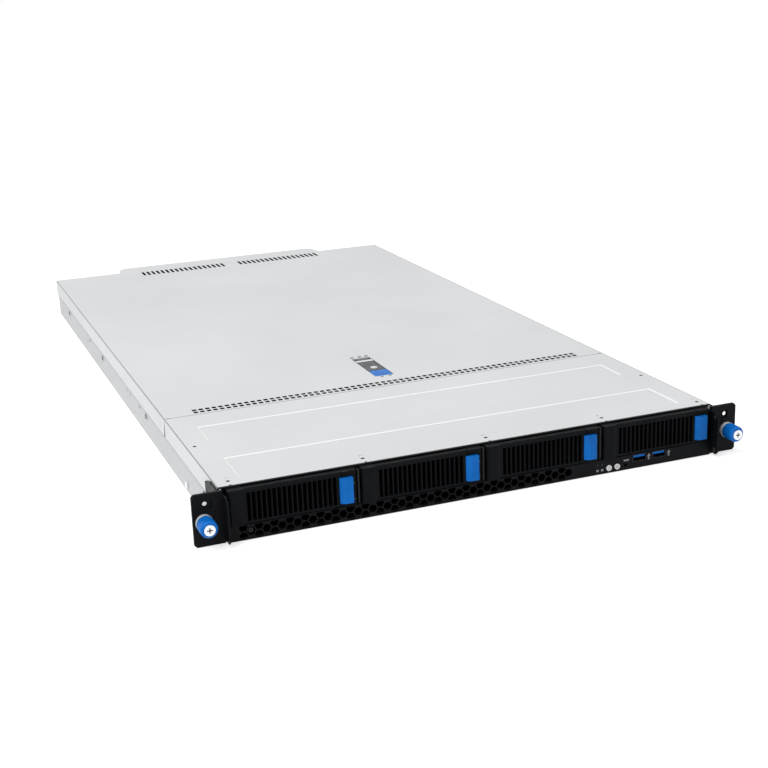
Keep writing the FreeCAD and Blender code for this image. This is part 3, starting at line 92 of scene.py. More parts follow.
def new_object(name, data):
    """An object that is linked into the scene."""
    item = bpy.data.objects.new(name, data)
    bpy.context.scene.collection.objects.link(item)
    return item


# ---- camera and studio
def add_camera():
    """The camera that was solved over the photograph."""
    place = Vector((-440.8, -947.8, 418.1)) * MM
    camera_data = bpy.data.cameras.new("camera")
    camera_data.sensor_width = 36
    camera_data.lens = 64.2
    camera_data.clip_end = 30
    camera = new_object("camera", camera_data)
    turn = math.radians(20.71)
    tilt = math.radians(17.08)
    roll = math.radians(-2.233)
    forward = Vector((math.sin(turn) * math.cos(tilt), math.cos(turn) * math.cos(tilt), -math.sin(tilt)))
    right = forward.cross(Vector((0, 0, 1))).normalized()
    up = right.cross(forward)
    side = right * math.cos(roll) + up * math.sin(roll)
    top = up * math.cos(roll) - right * math.sin(roll)
    rows = Matrix((side, top, -forward)).transposed().to_4x4()
    camera.matrix_world = Matrix.Translation(place) @ rows
    bpy.context.scene.camera = camera


def add_area(name, place, target, width, height, power):
    lamp = bpy.data.lights.new(name, "AREA")
    lamp.shape = "RECTANGLE"
    lamp.size = width
    lamp.size_y = height
    lamp.energy = power
    turn = (Vector(target) - Vector(place)).to_track_quat("-Z", "Y").to_matrix().to_4x4()
    new_object(name, lamp).matrix_world = Matrix.Translation(Vector(place)) @ turn


def make_node(tree, kind, inputs, **settings):
    """A node with settings, each input given a value or the output that feeds it."""
    node = tree.nodes.new(kind)
    for key, value in settings.items():
        setattr(node, key, value)
    for key, value in inputs.items():
        if isinstance(value, bpy.types.NodeSocket):
            tree.links.new(value, node.inputs[key])
        else:
            node.inputs[key].default_value = value
    return node


def grey(level):
    return (level, level, level, 1)


def shown_ray(tree):
    """1 for camera, glossy and transmission rays."""
    path = make_node(tree, "ShaderNodeLightPath", {})
    shown = path.outputs["Is Camera Ray"]
    for ray in ("Is Glossy Ray", "Is Transmission Ray"):
        shown = make_node(tree, "ShaderNodeMath", {0: shown, 1: path.outputs[ray]},
                          operation="MAXIMUM").outputs[0]
    return shown


def add_world():
    """A neutral light, with plain white where it is seen."""
    world = bpy.data.worlds.new("studio")
    bpy.context.scene.world = world
    world.use_nodes = True
    tree = world.node_tree
    tree.nodes.clear()
    light = make_node(tree, "ShaderNodeBackground", {"Color": grey(1), "Strength": 0.55})
    seen = make_node(tree, "ShaderNodeBackground", {"Color": grey(1), "Strength": 1})
    shown = shown_ray(tree)
    mix = make_node(tree, "ShaderNodeMixShader", {0: shown, 1: light.outputs[0], 2: seen.outputs[0]})
    make_node(tree, "ShaderNodeOutputWorld", {"Surface": mix.outputs[0]})


def add_floor():
    """A white floor that keeps the object's shadow."""
    mesh = bpy.data.meshes.new("floor")
    reach = 12
    corners = [(-reach, -reach, 0), (reach, -reach, 0), (reach, reach, 0), (-reach, reach, 0)]
    mesh.from_pydata(corners, [], [(0, 1, 2, 3)])
    paint = bpy.data.materials.new("floor_paint")
    paint.use_nodes = True
    tree = paint.node_tree
    tree.nodes.clear()
    matt = make_node(tree, "ShaderNodeBsdfDiffuse", {"Color": grey(0.72)})
    glow = make_node(tree, "ShaderNodeEmission", {"Color": grey(0.62), "Strength": shown_ray(tree)})
    both = make_node(tree, "ShaderNodeAddShader", {0: matt.outputs[0], 1: glow.outputs[0]})
    make_node(tree, "ShaderNodeOutputMaterial", {"Surface": both.outputs[0]})
    mesh.materials.append(paint)
    new_object("floor", mesh)


def add_studio():
    add_world()
    add_floor()
    add_area("key", (-1.8, -0.5, 2.5), (0, 0.4, 0), 2.4, 2.4, 53)
    add_area("front_fill", (-0.4, -2.6, 1), (0, 0, 0.02), 2.6, 0.9, 7)


# ---- materials
class Paint:
    """A Principled material whose colour, roughness and bump vary in the object's own coordinates."""

    def __init__(self, name, roughness, metallic=0, specular=0.5, edge=None):
        self.material = bpy.data.materials.new(name)
        self.material.use_nodes = True
        self.tree = self.material.node_tree
        self.inputs = self.tree.nodes["Principled BSDF"].inputs
        self.inputs["Metallic"].default_value = metallic
        self.inputs["Specular IOR Level"].default_value = specular
        self.inputs["Roughness"].default_value = roughness
        self.coords = self.add("ShaderNodeTexCoord", {}).outputs["Object"]
        if edge:
            rounded = self.add("ShaderNodeBevel", {"Radius": edge * MM}, samples=4)
            self.feed("Normal", rounded.outputs["Normal"])

    def add(self, kind, inputs, **settings):
        return make_node(self.tree, kind, inputs, **settings)

    def feed(self, name, source):
        """Link an output to one of the shader's inputs."""
        self.tree.links.new(source, self.inputs[name])

    def noise(self, scale, detail=3, stretch=(1, 1, 1)):
        mapping = self.add("ShaderNodeMapping", {"Vector": self.coords, "Scale": stretch})
        return self.add("ShaderNodeTexNoise", {"Vector": mapping.outputs[0], "Scale": scale,
                                               "Detail": detail}).outputs["Fac"]

    def spread(self, source, low, high, start=0.35, end=0.65):
        """Map a noise's middle range onto low..high."""
        return self.add("ShaderNodeMapRange", {"Value": source, "From Min": start, "From Max": end,
                                               "To Min": low, "To Max": high}).outputs["Result"]

    def beyond(self, axis, edge, soft=0.15):
        """0 below a place on an axis, in mm, and 1 above it."""
        split = self.add("ShaderNodeSeparateXYZ", {0: self.coords})
        return self.spread(split.outputs[axis], 0, 1, (edge - soft) * MM, (edge + soft) * MM)

    def band(self, axis, low, high):
        """1 between two places on an axis."""
        above = self.beyond(axis, low)
        below = self.spread(self.beyond(axis, high), 1, 0, 0, 1)
        return self.add("ShaderNodeMath", {0: above, 1: below}, operation="MULTIPLY").outputs[0]

    def mix(self, factor, first, second):
        """Two colours mixed by a factor; each is a tuple or an output."""
        colors = [(*value, 1) if isinstance(value, tuple) else value for value in (first, second)]
        return self.add("ShaderNodeMix", {"Factor": factor, 6: colors[0], 7: colors[1]},
                        data_type="RGBA").outputs[2]

    def color(self, source):
        self.feed("Base Color", source)

    def rough(self, source):
        self.feed("Roughness", source)

    def bump(self, source, depth, strength=1):
        inputs = {"Strength": strength, "Distance": depth * MM, "Height": source}
        if self.inputs["Normal"].is_linked:
            inputs["Normal"] = self.inputs["Normal"].links[0].from_socket
        self.feed("Normal", self.add("ShaderNodeBump", inputs).outputs["Normal"])

    def painted_front(self, tone, place, metallic):
        """A tone, with black over its front up to a place on Y where one is given: black paint on the panels'
        and cage's front edges, painted shade on the tray sleds behind the handles' grilles.
        """
        if place is None:
            return tone
        bare = self.beyond("Y", place)
        self.feed("Metallic", self.spread(bare, 0, metallic, 0, 1))
        self.inputs["Specular IOR Level"].default_value = 0.25
        return self.mix(bare, BLACK, tone)


def scaled(color, factor):
    return tuple(channel * factor for channel in color)


STEEL = (0.744, 0.758, 0.768)
BLACK = (0.0042, 0.0047, 0.0058)
BLUE = (0.0012, 0.150, 0.560)


def sheet_steel(name, color, roughness, metallic, speckle, painted_to=None, shade_lines=()):
    """Zinc-coated sheet: cloudy tone, faint rolling lines, a fine crystalline speckle, and painted shade in
    dark bands along the given seams, bends and edges.
    """
    paint = Paint(name, roughness, metallic, edge=0.35)
    clouds = paint.spread(paint.noise(7, 4), 0, 1)
    base = paint.mix(clouds, scaled(color, 0.965), scaled(color, 1.02))
    grains = paint.spread(paint.noise(900, 2), 0, speckle, 0.4, 0.7)
    tone = paint.mix(grains, base, scaled(color, 0.72))
    # Dark bands of painted shade along the seam between the panels, the bends at the sides and the flange's
    # edges.
    for axis, low, high in shade_lines:
        tone = paint.mix(paint.spread(paint.band(axis, low, high), 0, 0.75, 0, 1), tone, scaled(color, 0.26))
    paint.color(paint.painted_front(tone, painted_to, metallic))
    lines = paint.noise(60, 3, (1, 14, 1))
    paint.rough(paint.spread(lines, roughness - 0.05, roughness + 0.06))
    paint.bump(paint.noise(1500, 2), 0.02, 0.35)
    return paint.material


def spangled_steel(name, color, roughness, metallic, painted_to=None):
    """Galvanised sheet with zinc crystals a few millimetres across."""
    paint = Paint(name, roughness, metallic, edge=0.3)
    cells = paint.add("ShaderNodeTexVoronoi", {"Vector": paint.coords, "Scale": 260})
    crystal = paint.spread(cells.outputs["Color"], 0, 1, 0.1, 0.9)
    base = paint.mix(crystal, scaled(color, 0.94), scaled(color, 1.03))
    grains = paint.spread(paint.noise(700, 3), 0, 0.35, 0.42, 0.68)
    tone = paint.mix(grains, base, scaled(color, 0.66))
    paint.color(paint.painted_front(tone, painted_to, metallic))
    paint.rough(paint.spread(crystal, roughness - 0.07, roughness + 0.08, 0, 1))
    paint.bump(paint.noise(1100, 3), 0.02, 0.4)
    return paint.material


def powder_coat(name, color, roughness, specular, edge=0.3):
    """Fine powder coat or textured moulding with a slight orange peel."""
    paint = Paint(name, roughness, 0, specular, edge)
    clouds = paint.spread(paint.noise(26, 4), 0, 1)
    paint.color(paint.mix(clouds, scaled(color, 0.85), scaled(color, 1.2)))
    paint.rough(paint.spread(paint.noise(140, 3), roughness - 0.06, roughness + 0.07))
    paint.bump(paint.noise(2600, 3), 0.03, 0.5)
    return paint.material


def bare_metal(name, color, roughness, stretch=(1, 1, 1)):
    """Unpainted metal with fine brushing."""
    paint = Paint(name, roughness, 1, edge=0.2)
    streaks = paint.noise(500, 3, stretch)
    paint.color(paint.mix(paint.spread(streaks, 0, 1), scaled(color, 0.88), color))
    paint.rough(paint.spread(streaks, roughness - 0.06, roughness + 0.1))
    paint.bump(streaks, 0.01, 0.3)
    return paint.material


def solder_mask(name):
    """Green board: copper tracks under the mask, seen as slightly lighter lines."""
    paint = Paint(name, 0.38, 0, 0.4)
    brick = paint.add("ShaderNodeTexBrick", {"Vector": paint.coords, "Scale": 55, "Mortar Size": 0.012},
                      offset=0.37, squash=1.6)
    clouds = paint.spread(paint.noise(40, 4), 0, 1)
    base = paint.mix(clouds, (0.008, 0.050, 0.028), (0.012, 0.075, 0.040))
    paint.color(paint.mix(brick.outputs["Fac"], base, (0.030, 0.140, 0.070)))
    paint.bump(brick.outputs["Fac"], 0.05, 0.4)
    return paint.material


def smoked_lens(name, color):
    """Small moulded lens: glossy, faintly mottled inside."""
    paint = Paint(name, 0.16, 0, 0.6)
    depth = paint.spread(paint.noise(900, 2), 0, 1)
    paint.color(paint.mix(depth, scaled(color, 0.6), scaled(color, 1.4)))
    paint.rough(paint.spread(paint.noise(300, 2), 0.1, 0.25))
    return paint.material


# Where the top and the side flanges get dark bands of painted shade: along the seam, the bends and a line
# across the flange.
TOP_SHADE_LINES = (("Y", SEAM - 0.7, SEAM + 0.5), ("X", -SIDE - 1, -SIDE + 0.8), ("X", SIDE - 0.8, SIDE + 1))
FLANGE_SHADE_LINES = (("Z", 25, 26.4), ("Z", LID_TOP - 0.7, LID_TOP + 1), ("Y", SEAM - 0.7, SEAM + 0.5))
top_steel = sheet_steel("top_steel", STEEL, 0.46, 0.22, 0.12, painted_to=4.8, shade_lines=TOP_SHADE_LINES)
# A darker copy of the top's steel for the cover's side flanges: painted shade on the sides.
shaded_flange_steel = sheet_steel("shaded_flange_steel", scaled(STEEL, 0.96), 0.42, 0.20, 0.10, painted_to=3.2,
                           shade_lines=FLANGE_SHADE_LINES)
# Near-white steel for the emboss slopes: painted highlight.
highlight_bend_steel = sheet_steel("highlight_bend_steel", (0.97, 0.975, 0.98), 0.34, 0.20, 0.05)
side_steel = spangled_steel("side_steel", scaled(STEEL, 0.84), 0.50, 0.22, painted_to=1)
zinc = spangled_steel("zinc", scaled(STEEL, 0.80), 0.44, 0.45)
# Black up to Y 15: paint on the cage's front, painted shade on the tray sleds behind the grilles.
cage_zinc = spangled_steel("cage_zinc", scaled(STEEL, 0.80), 0.44, 0.45, painted_to=15)
black_paint = powder_coat("black_paint", BLACK, 0.44, 0.08)
black_mould = powder_coat("black_mould", BLACK, 0.50, 0.065, 0.4)
inner_black = powder_coat("inner_black", (0.014, 0.014, 0.015), 0.45, 0.3, 0.4)
grey_mould = powder_coat("grey_mould", (0.082, 0.085, 0.090), 0.48, 0.22)
blue_mould = powder_coat("blue_mould", BLUE, 0.36, 0.16, 0.4)
light_blue = powder_coat("light_blue", (0.010, 0.215, 0.720), 0.40, 0.2, 0.3)
mid_blue = powder_coat("mid_blue", (0.004, 0.165, 0.600), 0.42, 0.2, 0.3)
white_mould = powder_coat("white_mould", (0.80, 0.81, 0.82), 0.35, 0.4, 0.2)
# Matt near-black: painted shade, for holes, recesses, slots and the dark space seen through vents and
# grilles.
shade_black = powder_coat("shade_black", (0.0022, 0.0022, 0.0024), 0.85, 0.04)
silver = bare_metal("silver", (0.84, 0.85, 0.86), 0.30)
dark_steel = bare_metal("dark_steel", (0.050, 0.051, 0.054), 0.36)
rivet_steel = bare_metal("rivet_steel", (0.30, 0.31, 0.33), 0.38)
brass = bare_metal("brass", (0.13, 0.085, 0.035), 0.5)
aluminium = bare_metal("fin_aluminium", (0.80, 0.81, 0.82), 0.36, (1, 12, 1))
gold = bare_metal("contact_gold", (0.83, 0.62, 0.25), 0.3)
green_board = solder_mask("solder_mask")
chip_black = powder_coat("chip_black", (0.012, 0.012, 0.013), 0.40, 0.35)
ceramic = powder_coat("ceramic", (0.22, 0.15, 0.09), 0.5, 0.3, 0.1)
bare_label = powder_coat("bare_label", (0.40, 0.405, 0.41), 0.5, 0.3, 0.05)
mark_white = powder_coat("mark_white", (0.42, 0.43, 0.44), 0.6, 0.2, 0.05)
mark_grey = powder_coat("mark_grey", (0.18, 0.18, 0.19), 0.6, 0.2, 0.05)
collar_steel = sheet_steel("collar_steel", (0.88, 0.885, 0.89), 0.30, 0.35, 0.05)
rivet_black = powder_coat("rivet_black", (0.010, 0.0105, 0.011), 0.34, 0.30, 0.2)
lamp_green = smoked_lens("lamp_green", (0.006, 0.012, 0.008))
lamp_clear = smoked_lens("lamp_clear", (0.020, 0.021, 0.023))
# Near-black for holes, slots and the cut edges of vents: painted shade.
hole_shade = powder_coat("hole_shade", (0.012, 0.012, 0.013), 0.7, 0.08, 0.05)
# Lighter steel for dimples and rivet heads: painted highlight.
dimple_highlight = sheet_steel("dimple_highlight", (0.86, 0.865, 0.87), 0.36, 0.2, 0.05)


def dress(material, names):
    """Give one finish to the nodes named in a string."""
    for name in names.split():
        nodes[name].data.materials.clear()
        nodes[name].data.materials.append(material)


def faces_of(name):
    """Each face of a node, with its low and high corner in mm."""
    mesh = nodes[name].data
    for face in mesh.polygons:
        corners = [mesh.vertices[i].co / MM for i in face.vertices]
        yield (face, Vector([min(c[k] for c in corners) for k in range(3)]),
               Vector([max(c[k] for c in corners) for k in range(3)]))


def dress_by(name, choose, *finishes):
    """Give each face of a node one of several finishes; choose takes its low and high corner and normal."""
    materials = nodes[name].data.materials
    materials.clear()
    for material in finishes:
        materials.append(material)
    for face, low, high in faces_of(name):
        face.material_index = choose(low, high, face.normal)


def dress_nodes():
    """Every node of the CAD frame gets its finish."""
    for name in ("rear_cover", "front_top_panel"):
        dress_by(name, cover_face, top_steel, shaded_flange_steel, hole_shade)
    # The latch's pan is near-black: painted shade of the gap round the lever.
    dress_by("latch_pan", pan_face, inner_black, zinc)
    for material, names in (
            (side_steel, "chassis_tray"), (cage_zinc, "drive_cage"),
            (zinc, "rear_panel riser_cage psu_guides"), (black_paint, "front_fascia left_ear right_ear"),
            (inner_black, "fan_cage fan_frames air_shroud board_sockets drive_connectors"),
            (grey_mould, "latch_lever"), (light_blue, "latch_grip"), (silver, "latch_lock"),
            (blue_mould, "psu_left_release psu_right_release"), (rivet_steel, "rail_studs"),
            (collar_steel, "thumbscrew_collars"), (aluminium, "cpu_heatsinks"),
            (white_mould, "power_button id_button"),
            (green_board, "backplane motherboard dimm_modules riser_cards front_io_board")):
        dress(material, names)
    for n in FANS:
        dress(inner_black, "fan_rotor_%d" % n)
    for n in BAYS:
        dress(black_mould, "handle_%d" % n)
        dress(blue_mould, "release_%d" % n)
        dress_by("tray_%d" % n, tray_face, cage_zinc, black_mould)
        dress_by("drive_%d" % n, drive_face, aluminium, shade_black)
    for name in ("left_thumbscrew", "right_thumbscrew"):
        dress_by(name, knob_face, blue_mould, silver, brass)
    dress_by("usb_ports", usb_face, dark_steel, blue_mould, shade_black)
    dress_by("rear_ports", port_face, silver, shade_black)
    for name in ("psu_left", "psu_right"):
        dress_by(name, supply_face, zinc, inner_black)


def cover_face(low, high, normal):
    """0 for the top, 1 for a side flange, 2 for the edges of the vent openings, which get painted shade."""
    if abs(normal.x) > 0.9 and max(abs(low.x), abs(high.x)) > SIDE - 0.1:
        return 1
    cut_edge = abs(normal.z) < 0.1 and low.z > LID_TOP - 1.1 and abs(low.x) < SIDE - 8
    return 2 if cut_edge and any(front < low.y < rear for front, rear in VENT_SPANS) else 0


def pan_face(low, high, normal):
    """1 for the rear edge of the latch's pan, which stays zinc; the rest is near-black as painted shade of
    the gap round the lever.
    """
    return int(low.y > PAN_REAR)


def tray_face(low, high, normal):
    """1 for the front of a tray."""
    return int(high.y < TRAY_FACE_REAR)


def drive_face(low, high, normal):
    """1 for the front of a drive, which is near-black as painted shade."""
    return int(high.y < DRIVE_FACE_REAR)


def knob_face(low, high, normal):
    """0 for the knob, 1 for the screw in it, 2 for the bottom of the screw's recess."""
    reach = max(math.hypot(abs(x) - SCREW_X, z - SCREW_Z) for x in (low.x, high.x) for z in (low.z, high.z))
    if reach < 2.6 and -19.7 < high.y < -18:
        return 2
    knob_end = normal.y < -0.9 and low.y > -18.95
    screw_head = max(low.y, high.y) < -18.85 and reach < 6.3 and not knob_end
    neck = reach < 3.8 and high.y > -5.8
    return int(screw_head or neck)


def usb_face(low, high, normal):
    """0 for a shell, 1 for its tongue, 2 for the inside of the shell, which is painted shade."""
    middle = min(USB_X, key=lambda x: abs(x - (low.x + high.x) / 2))
    reach = max(abs(low.x - middle), abs(high.x - middle))
    if reach < 5.6 and low.z > 9.6 and high.z < 11.6:
        return 1
    return 2 if reach < 6.05 and low.z > 6.55 and high.z < 12.15 else 0


def port_face(low, high, normal):
    """1 for faces of a socket's mouth, which are painted shade."""
    for x0, x1, z0, z1 in PORTS.values():
        if low.x > x0 + 1 and high.x < x1 - 1 and low.z > z0 + 1 and high.z < z1 - 1 and low.y > 825:
            return 1
    return 0


def supply_face(low, high, normal):
    """1 for the handle, the fan's bore and the inlet."""
    handle = low.y > SUPPLY_REAR - 0.1 and high.y > SUPPLY_REAR + 0.1
    hollow = low.y > 797 and high.y < SUPPLY_REAR + 0.1 and normal.y < 0.99 and low.z > 3 and high.z < 40
    return int(handle or hollow)


def find_ports():
    """Left, right, low and high edge of each rear socket, numbered along X."""
    mesh = nodes["rear_ports"].data
    spans = []
    for face in mesh.polygons:
        xs = [mesh.vertices[i].co.x / MM for i in face.vertices]
        zs = [mesh.vertices[i].co.z / MM for i in face.vertices]
        spans.append((min(xs), max(xs), min(zs), max(zs)))
    merged = []
    for span in sorted(spans):
        if merged and span[0] < merged[-1][1] - 0.01:
            last = merged[-1]
            merged[-1] = (last[0], max(last[1], span[1]), min(last[2], span[2]), max(last[3], span[3]))
        else:
            merged.append(span)
    return dict(enumerate(merged, start=1))


PORTS = find_ports()


# ---- mesh building, in mm
AXES = {"x": (1, 2, 0), "y": (0, 2, 1), "z": (0, 1, 2)}


def placed(axis, across, aside, along):
    """A point from its two places across an axis and its place along it."""
    point = [0, 0, 0]
    for k, value in zip(AXES[axis], (across, aside, along)):
        point[k] = value
    return tuple(point)


def around(axis, centre, radius, angle, place):
    """A point round an axis through centre, at a place along it."""
    u, v, w = AXES[axis]
    return placed(axis, centre[u] + radius * math.cos(angle), centre[v] + radius * math.sin(angle),
                  centre[w] + place)


class Shape:
    """Closed forms gathered into one mesh, each face with its own finish."""

    def __init__(self):
        self.points = []
        self.faces = []
        self.marks = []
        self.finishes = []

    def add(self, points, faces, finish):
        start = len(self.points)
        self.points.extend(points)
        if finish not in self.finishes:
            self.finishes.append(finish)
        mark = self.finishes.index(finish)
        for face in faces:
            self.faces.append([start + i for i in face])
            self.marks.append(mark)

    def prism(self, axis, outline, low, high, finish):
        """An outline in the plane across an axis, drawn out from low to high."""
        count = len(outline)
        points = [placed(axis, a, b, level) for level in (low, high) for a, b in outline]
        faces = [list(range(count))[::-1], list(range(count, 2 * count))]
        for i in range(count):
            j = (i + 1) % count
            faces.append([i, j, count + j, count + i])
        self.add(points, faces, finish)

    def box(self, x0, x1, y0, y1, z0, z1, finish):
        self.prism("z", [(x0, y0), (x1, y0), (x1, y1), (x0, y1)], z0, z1, finish)

    def turned(self, axis, centre, profile, finish, sides=20):
        """A closed profile of (radius, place) turned about an axis through centre."""
        points = [around(axis, centre, radius, 2 * math.pi * k / sides, place)
                  for radius, place in profile for k in range(sides)]
        last = (len(profile) - 1) * sides
        faces = []
        for row in range(0, last, sides):
            for k in range(sides):
                j = (k + 1) % sides
                faces.append([row + k, row + j, row + sides + j, row + sides + k])
        faces.append(list(range(sides))[::-1])
        faces.append([last + k for k in range(sides)])
        self.add(points, faces, finish)

    def ring(self, axis, centre, profile, finish, sides=24, teeth=0):
        """A closed section of (radius, place) turned all the way round; teeth raise every other side."""
        rows = len(profile)
        outer = max(radius for radius, place in profile)
        points = []
        faces = []
        for k in range(sides):
            j = (k + 1) % sides
            lift = teeth if k % 2 else 0
            for row, (radius, place) in enumerate(profile):
                reach = radius + (lift if radius > outer - 0.01 else 0)
                points.append(around(axis, centre, reach, 2 * math.pi * k / sides, place))
                after = (row + 1) % rows
                faces.append([k * rows + row, j * rows + row, j * rows + after, k * rows + after])
        self.add(points, faces, finish)

    def thread(self, centre, start, end, core, crest, pitch, finish, sides=18):
        """A screw thread's ridge along Y."""
        steps = int(((end - start) / pitch - 1) * sides)
        points = []
        for k in range(steps + 1):
            place = start + pitch * (0.5 + k / sides)
            for radius, aside in ((core, -0.42 * pitch), (crest, 0), (core, 0.42 * pitch)):
                points.append(around("y", centre, radius, 2 * math.pi * k / sides, place + aside))
        faces = [[0, 1, 2], [steps * 3 + 2, steps * 3 + 1, steps * 3]]
        for k in range(0, steps * 3, 3):
            for row in range(3):
                after = (row + 1) % 3
                faces.append([k + row, k + 3 + row, k + 3 + after, k + after])
        self.add(points, faces, finish)

    def hex_cell(self, x, z, low, high, outer, inner, finish):
        """One cell of a pierced sheet: its face and back round a hexagonal hole."""
        points = [around("y", (x, 0, z), reach, math.pi / 3 * k + math.pi / 6, level)
                  for level in (low, high) for reach in (outer, inner) for k in range(6)]
        faces = []
        for k in range(6):
            j = (k + 1) % 6
            faces += [[k, j, 6 + j, 6 + k], [12 + k, 18 + k, 18 + j, 12 + j],
                      [6 + k, 6 + j, 18 + j, 18 + k], [k, 12 + k, 12 + j, j]]
        self.add(points, faces, finish)

    def honeycomb(self, x0, x1, z0, z1, low, high, pitch, web, finish):
        """A sheet pierced by hexagons, between its edges."""
        outer = pitch / math.sqrt(3)
        inner = (pitch - web) / math.sqrt(3)
        rise = outer * 1.5
        row = 0
        z = z0 + outer
        while z + outer <= z1 + 0.01:
            x = x0 + pitch / 2 + (pitch / 2 if row % 2 else 0)
            while x + pitch / 2 <= x1 + 0.01:
                self.hex_cell(x, z, low, high, outer, inner, finish)
                x += pitch
            z += rise
            row += 1

    def stand_out(self, face, reach, y0, y1, z0, z1, finish):
        """A box that stands out from a face on X by a reach, which is negative to the left."""
        x0, x1 = sorted((face, face + reach))
        self.box(x0, x1, y0, y1, z0, z1, finish)

    def finish(self, name, slot, body="chassis"):
        """Make the piece, which rides on a body; its slot is not used."""
        mesh = bpy.data.meshes.new(name)
        mesh.from_pydata([Vector(p) * MM for p in self.points], [], self.faces)
        for material in self.finishes:
            mesh.materials.append(material)
        for face, mark in zip(mesh.polygons, self.marks):
            face.material_index = mark
        mesh.update()
        form = bmesh.new()
        form.from_mesh(mesh)
        bmesh.ops.recalc_face_normals(form, faces=form.faces)
        form.to_mesh(mesh)
        form.free()
        piece = new_object(name, mesh)
        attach(piece, body)


def dome(radius, height):
    """Profile of a low rounded head, from its seat up."""
    return [(radius, 0), (radius, height * 0.3), (radius * 0.86, height * 0.75), (radius * 0.5, height)]


# ---- front
def make_duct_shade_sheet():
    """Black sheet of painted shade round the air duct under the bays, with its rivets."""
    duct_shade = Shape()
    half = CAGE_SIDE - 2
    back = 176
    duct_shade.box(-half, half, 7.9, back, SHADE_SHEET_LOW, SHADE_SHEET_HIGH, shade_black)
    duct_shade.box(-half, half, 14, back, 11.7, 11.9, shade_black)
    duct_shade.box(-half, half, back - 1, back, SHADE_SHEET_HIGH, 11.7, shade_black)
    for k in range(9):
        x = -half + 20 + k * (2 * half - 40) / 8
        duct_shade.turned("z", (x, 30, SHADE_SHEET_HIGH), dome(2.2, 0.5), inner_black, 12)
    duct_shade.finish("air_duct_shade_sheet", "black_plastic")


def make_vent_shade_sheets():
    """Black sheets of painted shade, seen through the top vents: in front of the fans, and below the
    expansion openings.
    """
    sheet = Shape()
    sheet.box(-212, 212, 181, 211, SHADE_SHEET_LOW, SHADE_SHEET_HIGH, shade_black)
    for k in range(5):
        sheet.turned("z", (-180 + k * 90, 196, SHADE_SHEET_HIGH), dome(2.2, 0.5), inner_black, 12)
    for x0, x1 in rear_openings():
        sheet.box(x0, x1, 778, 826, 23.05, 23.2, shade_black)
    sheet.finish("vent_shade_sheets", "black_plastic")


def make_fascia_screw():
    """The black screw in a hexagon of the vents, with its cross recess drawn as painted shade."""
    screw = Shape()
    x = -197
    face = -3
    screw.turned("y", (x, face, 7.34), [(2.3, 4), (2.3, 0.5), (1.9, 0), (1.2, -0.05)], rivet_black, 18)
    screw.box(x - 1.3, x + 1.3, face - 0.1, face, 7.1, 7.6, shade_black)
    screw.box(x - 0.25, x + 0.25, face - 0.1, face, 6.1, 8.6, shade_black)
    screw.finish("fascia_screw", "black_steel")


def make_guard_rivets():
    rivets = Shape()
    for side in (-1, 1):
        profile = [(radius, -height * side) for radius, height in dome(1.9, 0.75)]
        for z in (35.6, 6.6):
            rivets.turned("x", (215.5 * side, -9.5, z), profile, rivet_black, 18)
    rivets.finish("guard_rivets", "black_steel")


def make_status_lamps():
    lamps = Shape()
    for x in LAMP_X:
        lamps.turned("y", (x, FASCIA_FRONT + 0.5, 8.6), [(0.85, 1.2), (0.85, 0), (0.6, -0.35)],
                     lamp_green, 12)
    lamps.finish("status_lamps", "black_plastic")


def make_control_marks():
    """Plain marks by the lamps, the reset hole and the USB sockets."""
    signs = Shape()

    def mark(x, left, right, z0, z1):
        signs.box(x + left, x + right, FASCIA_FRONT - PROUD, FASCIA_FRONT + 0.1, z0, z1, mark_white)

    for x in LAMP_X:
        for left, right, z0, z1 in ((-1.1, 1.1, 3.2, 3.7), (-1.1, 1.1, 4.4, 4.9),
                                    (-1.1, -0.7, 3.7, 4.4), (0.7, 1.1, 3.7, 4.4)):
            mark(x, left, right, z0, z1)
    for k in range(4):
        mark(k * 1.3, 129.6, 130.5, 8.4, 9.6)
    for x in (153.9, 173.6):
        mark(x, -0.3, 0.3, 6.8, 11.4)
        signs.turned("y", (x, FASCIA_FRONT, 7.2), [(0.9, 0.1), (0.9, -PROUD)], mark_white, 12)
        mark(x, -1.2, -0.7, 8.6, 10.2)
        mark(x, 0.7, 1.2, 9, 10.6)
    signs.finish("control_marks", "white_plastic")


def make_button_marks():
    """A ring with a bar on one button, and a ring with a dot on the other."""
    face = FASCIA_FRONT - 0.9
    z = 5
    for name, body, x in (("power_mark", "power_push", 115.1), ("id_mark", "id_push", 123)):
        symbol = Shape()
        symbol.ring("y", (x, face, z), [(1.05, -PROUD), (1.35, -PROUD), (1.35, 0.05), (1.05, 0.05)],
                    mark_grey, 20)
        if name == "power_mark":
            symbol.box(x - 0.16, x + 0.16, face - 0.04, face + 0.05, z, 6.7, mark_grey)
        else:
            symbol.turned("y", (x, face, z), [(0.4, 0.05), (0.4, -PROUD)], mark_grey, 12)
        symbol.finish(name, "grey_plastic", body)


def make_usb_contacts():
    """Four contacts on each tongue, and the springs of the shell above and below it."""
    contacts = Shape()
    for x in USB_X:
        for k in range(4):
            place = x + (k - 1.5) * 2.3
            contacts.box(place - 0.5, place + 0.5, -2.9, 6, 9.55, 9.7, gold)
        for middle in (x - 3.2, x + 3.2):
            for z0, z1 in ((12.1, 12.25), (6.5, 6.75)):
                contacts.box(middle - 0.9, middle + 0.9, -3.4, 4, z0, z1, dark_steel)
    contacts.finish("usb_contacts", "bright_metal")


# ---- bays
def make_tray_screen(n, body, left):
    """The dark perforated insert behind the handle's grille; its near-black is painted shade."""
    screen = Shape()
    screen.box(left + 7, left + 91, 9, 9.5, 14.6, 41.6, shade_black)
    for k in range(21):
        x = left + 9 + k * 4
        screen.box(x, x + 0.9, 8.6, 9, 15.2, 41, shade_black)
    for z in (14.6, 27.6, 40.6):
        screen.box(left + 7, left + 91, 8.3, 9, z, z + 1, shade_black)
    screen.finish("tray_%d_screen" % n, "black_plastic", body)


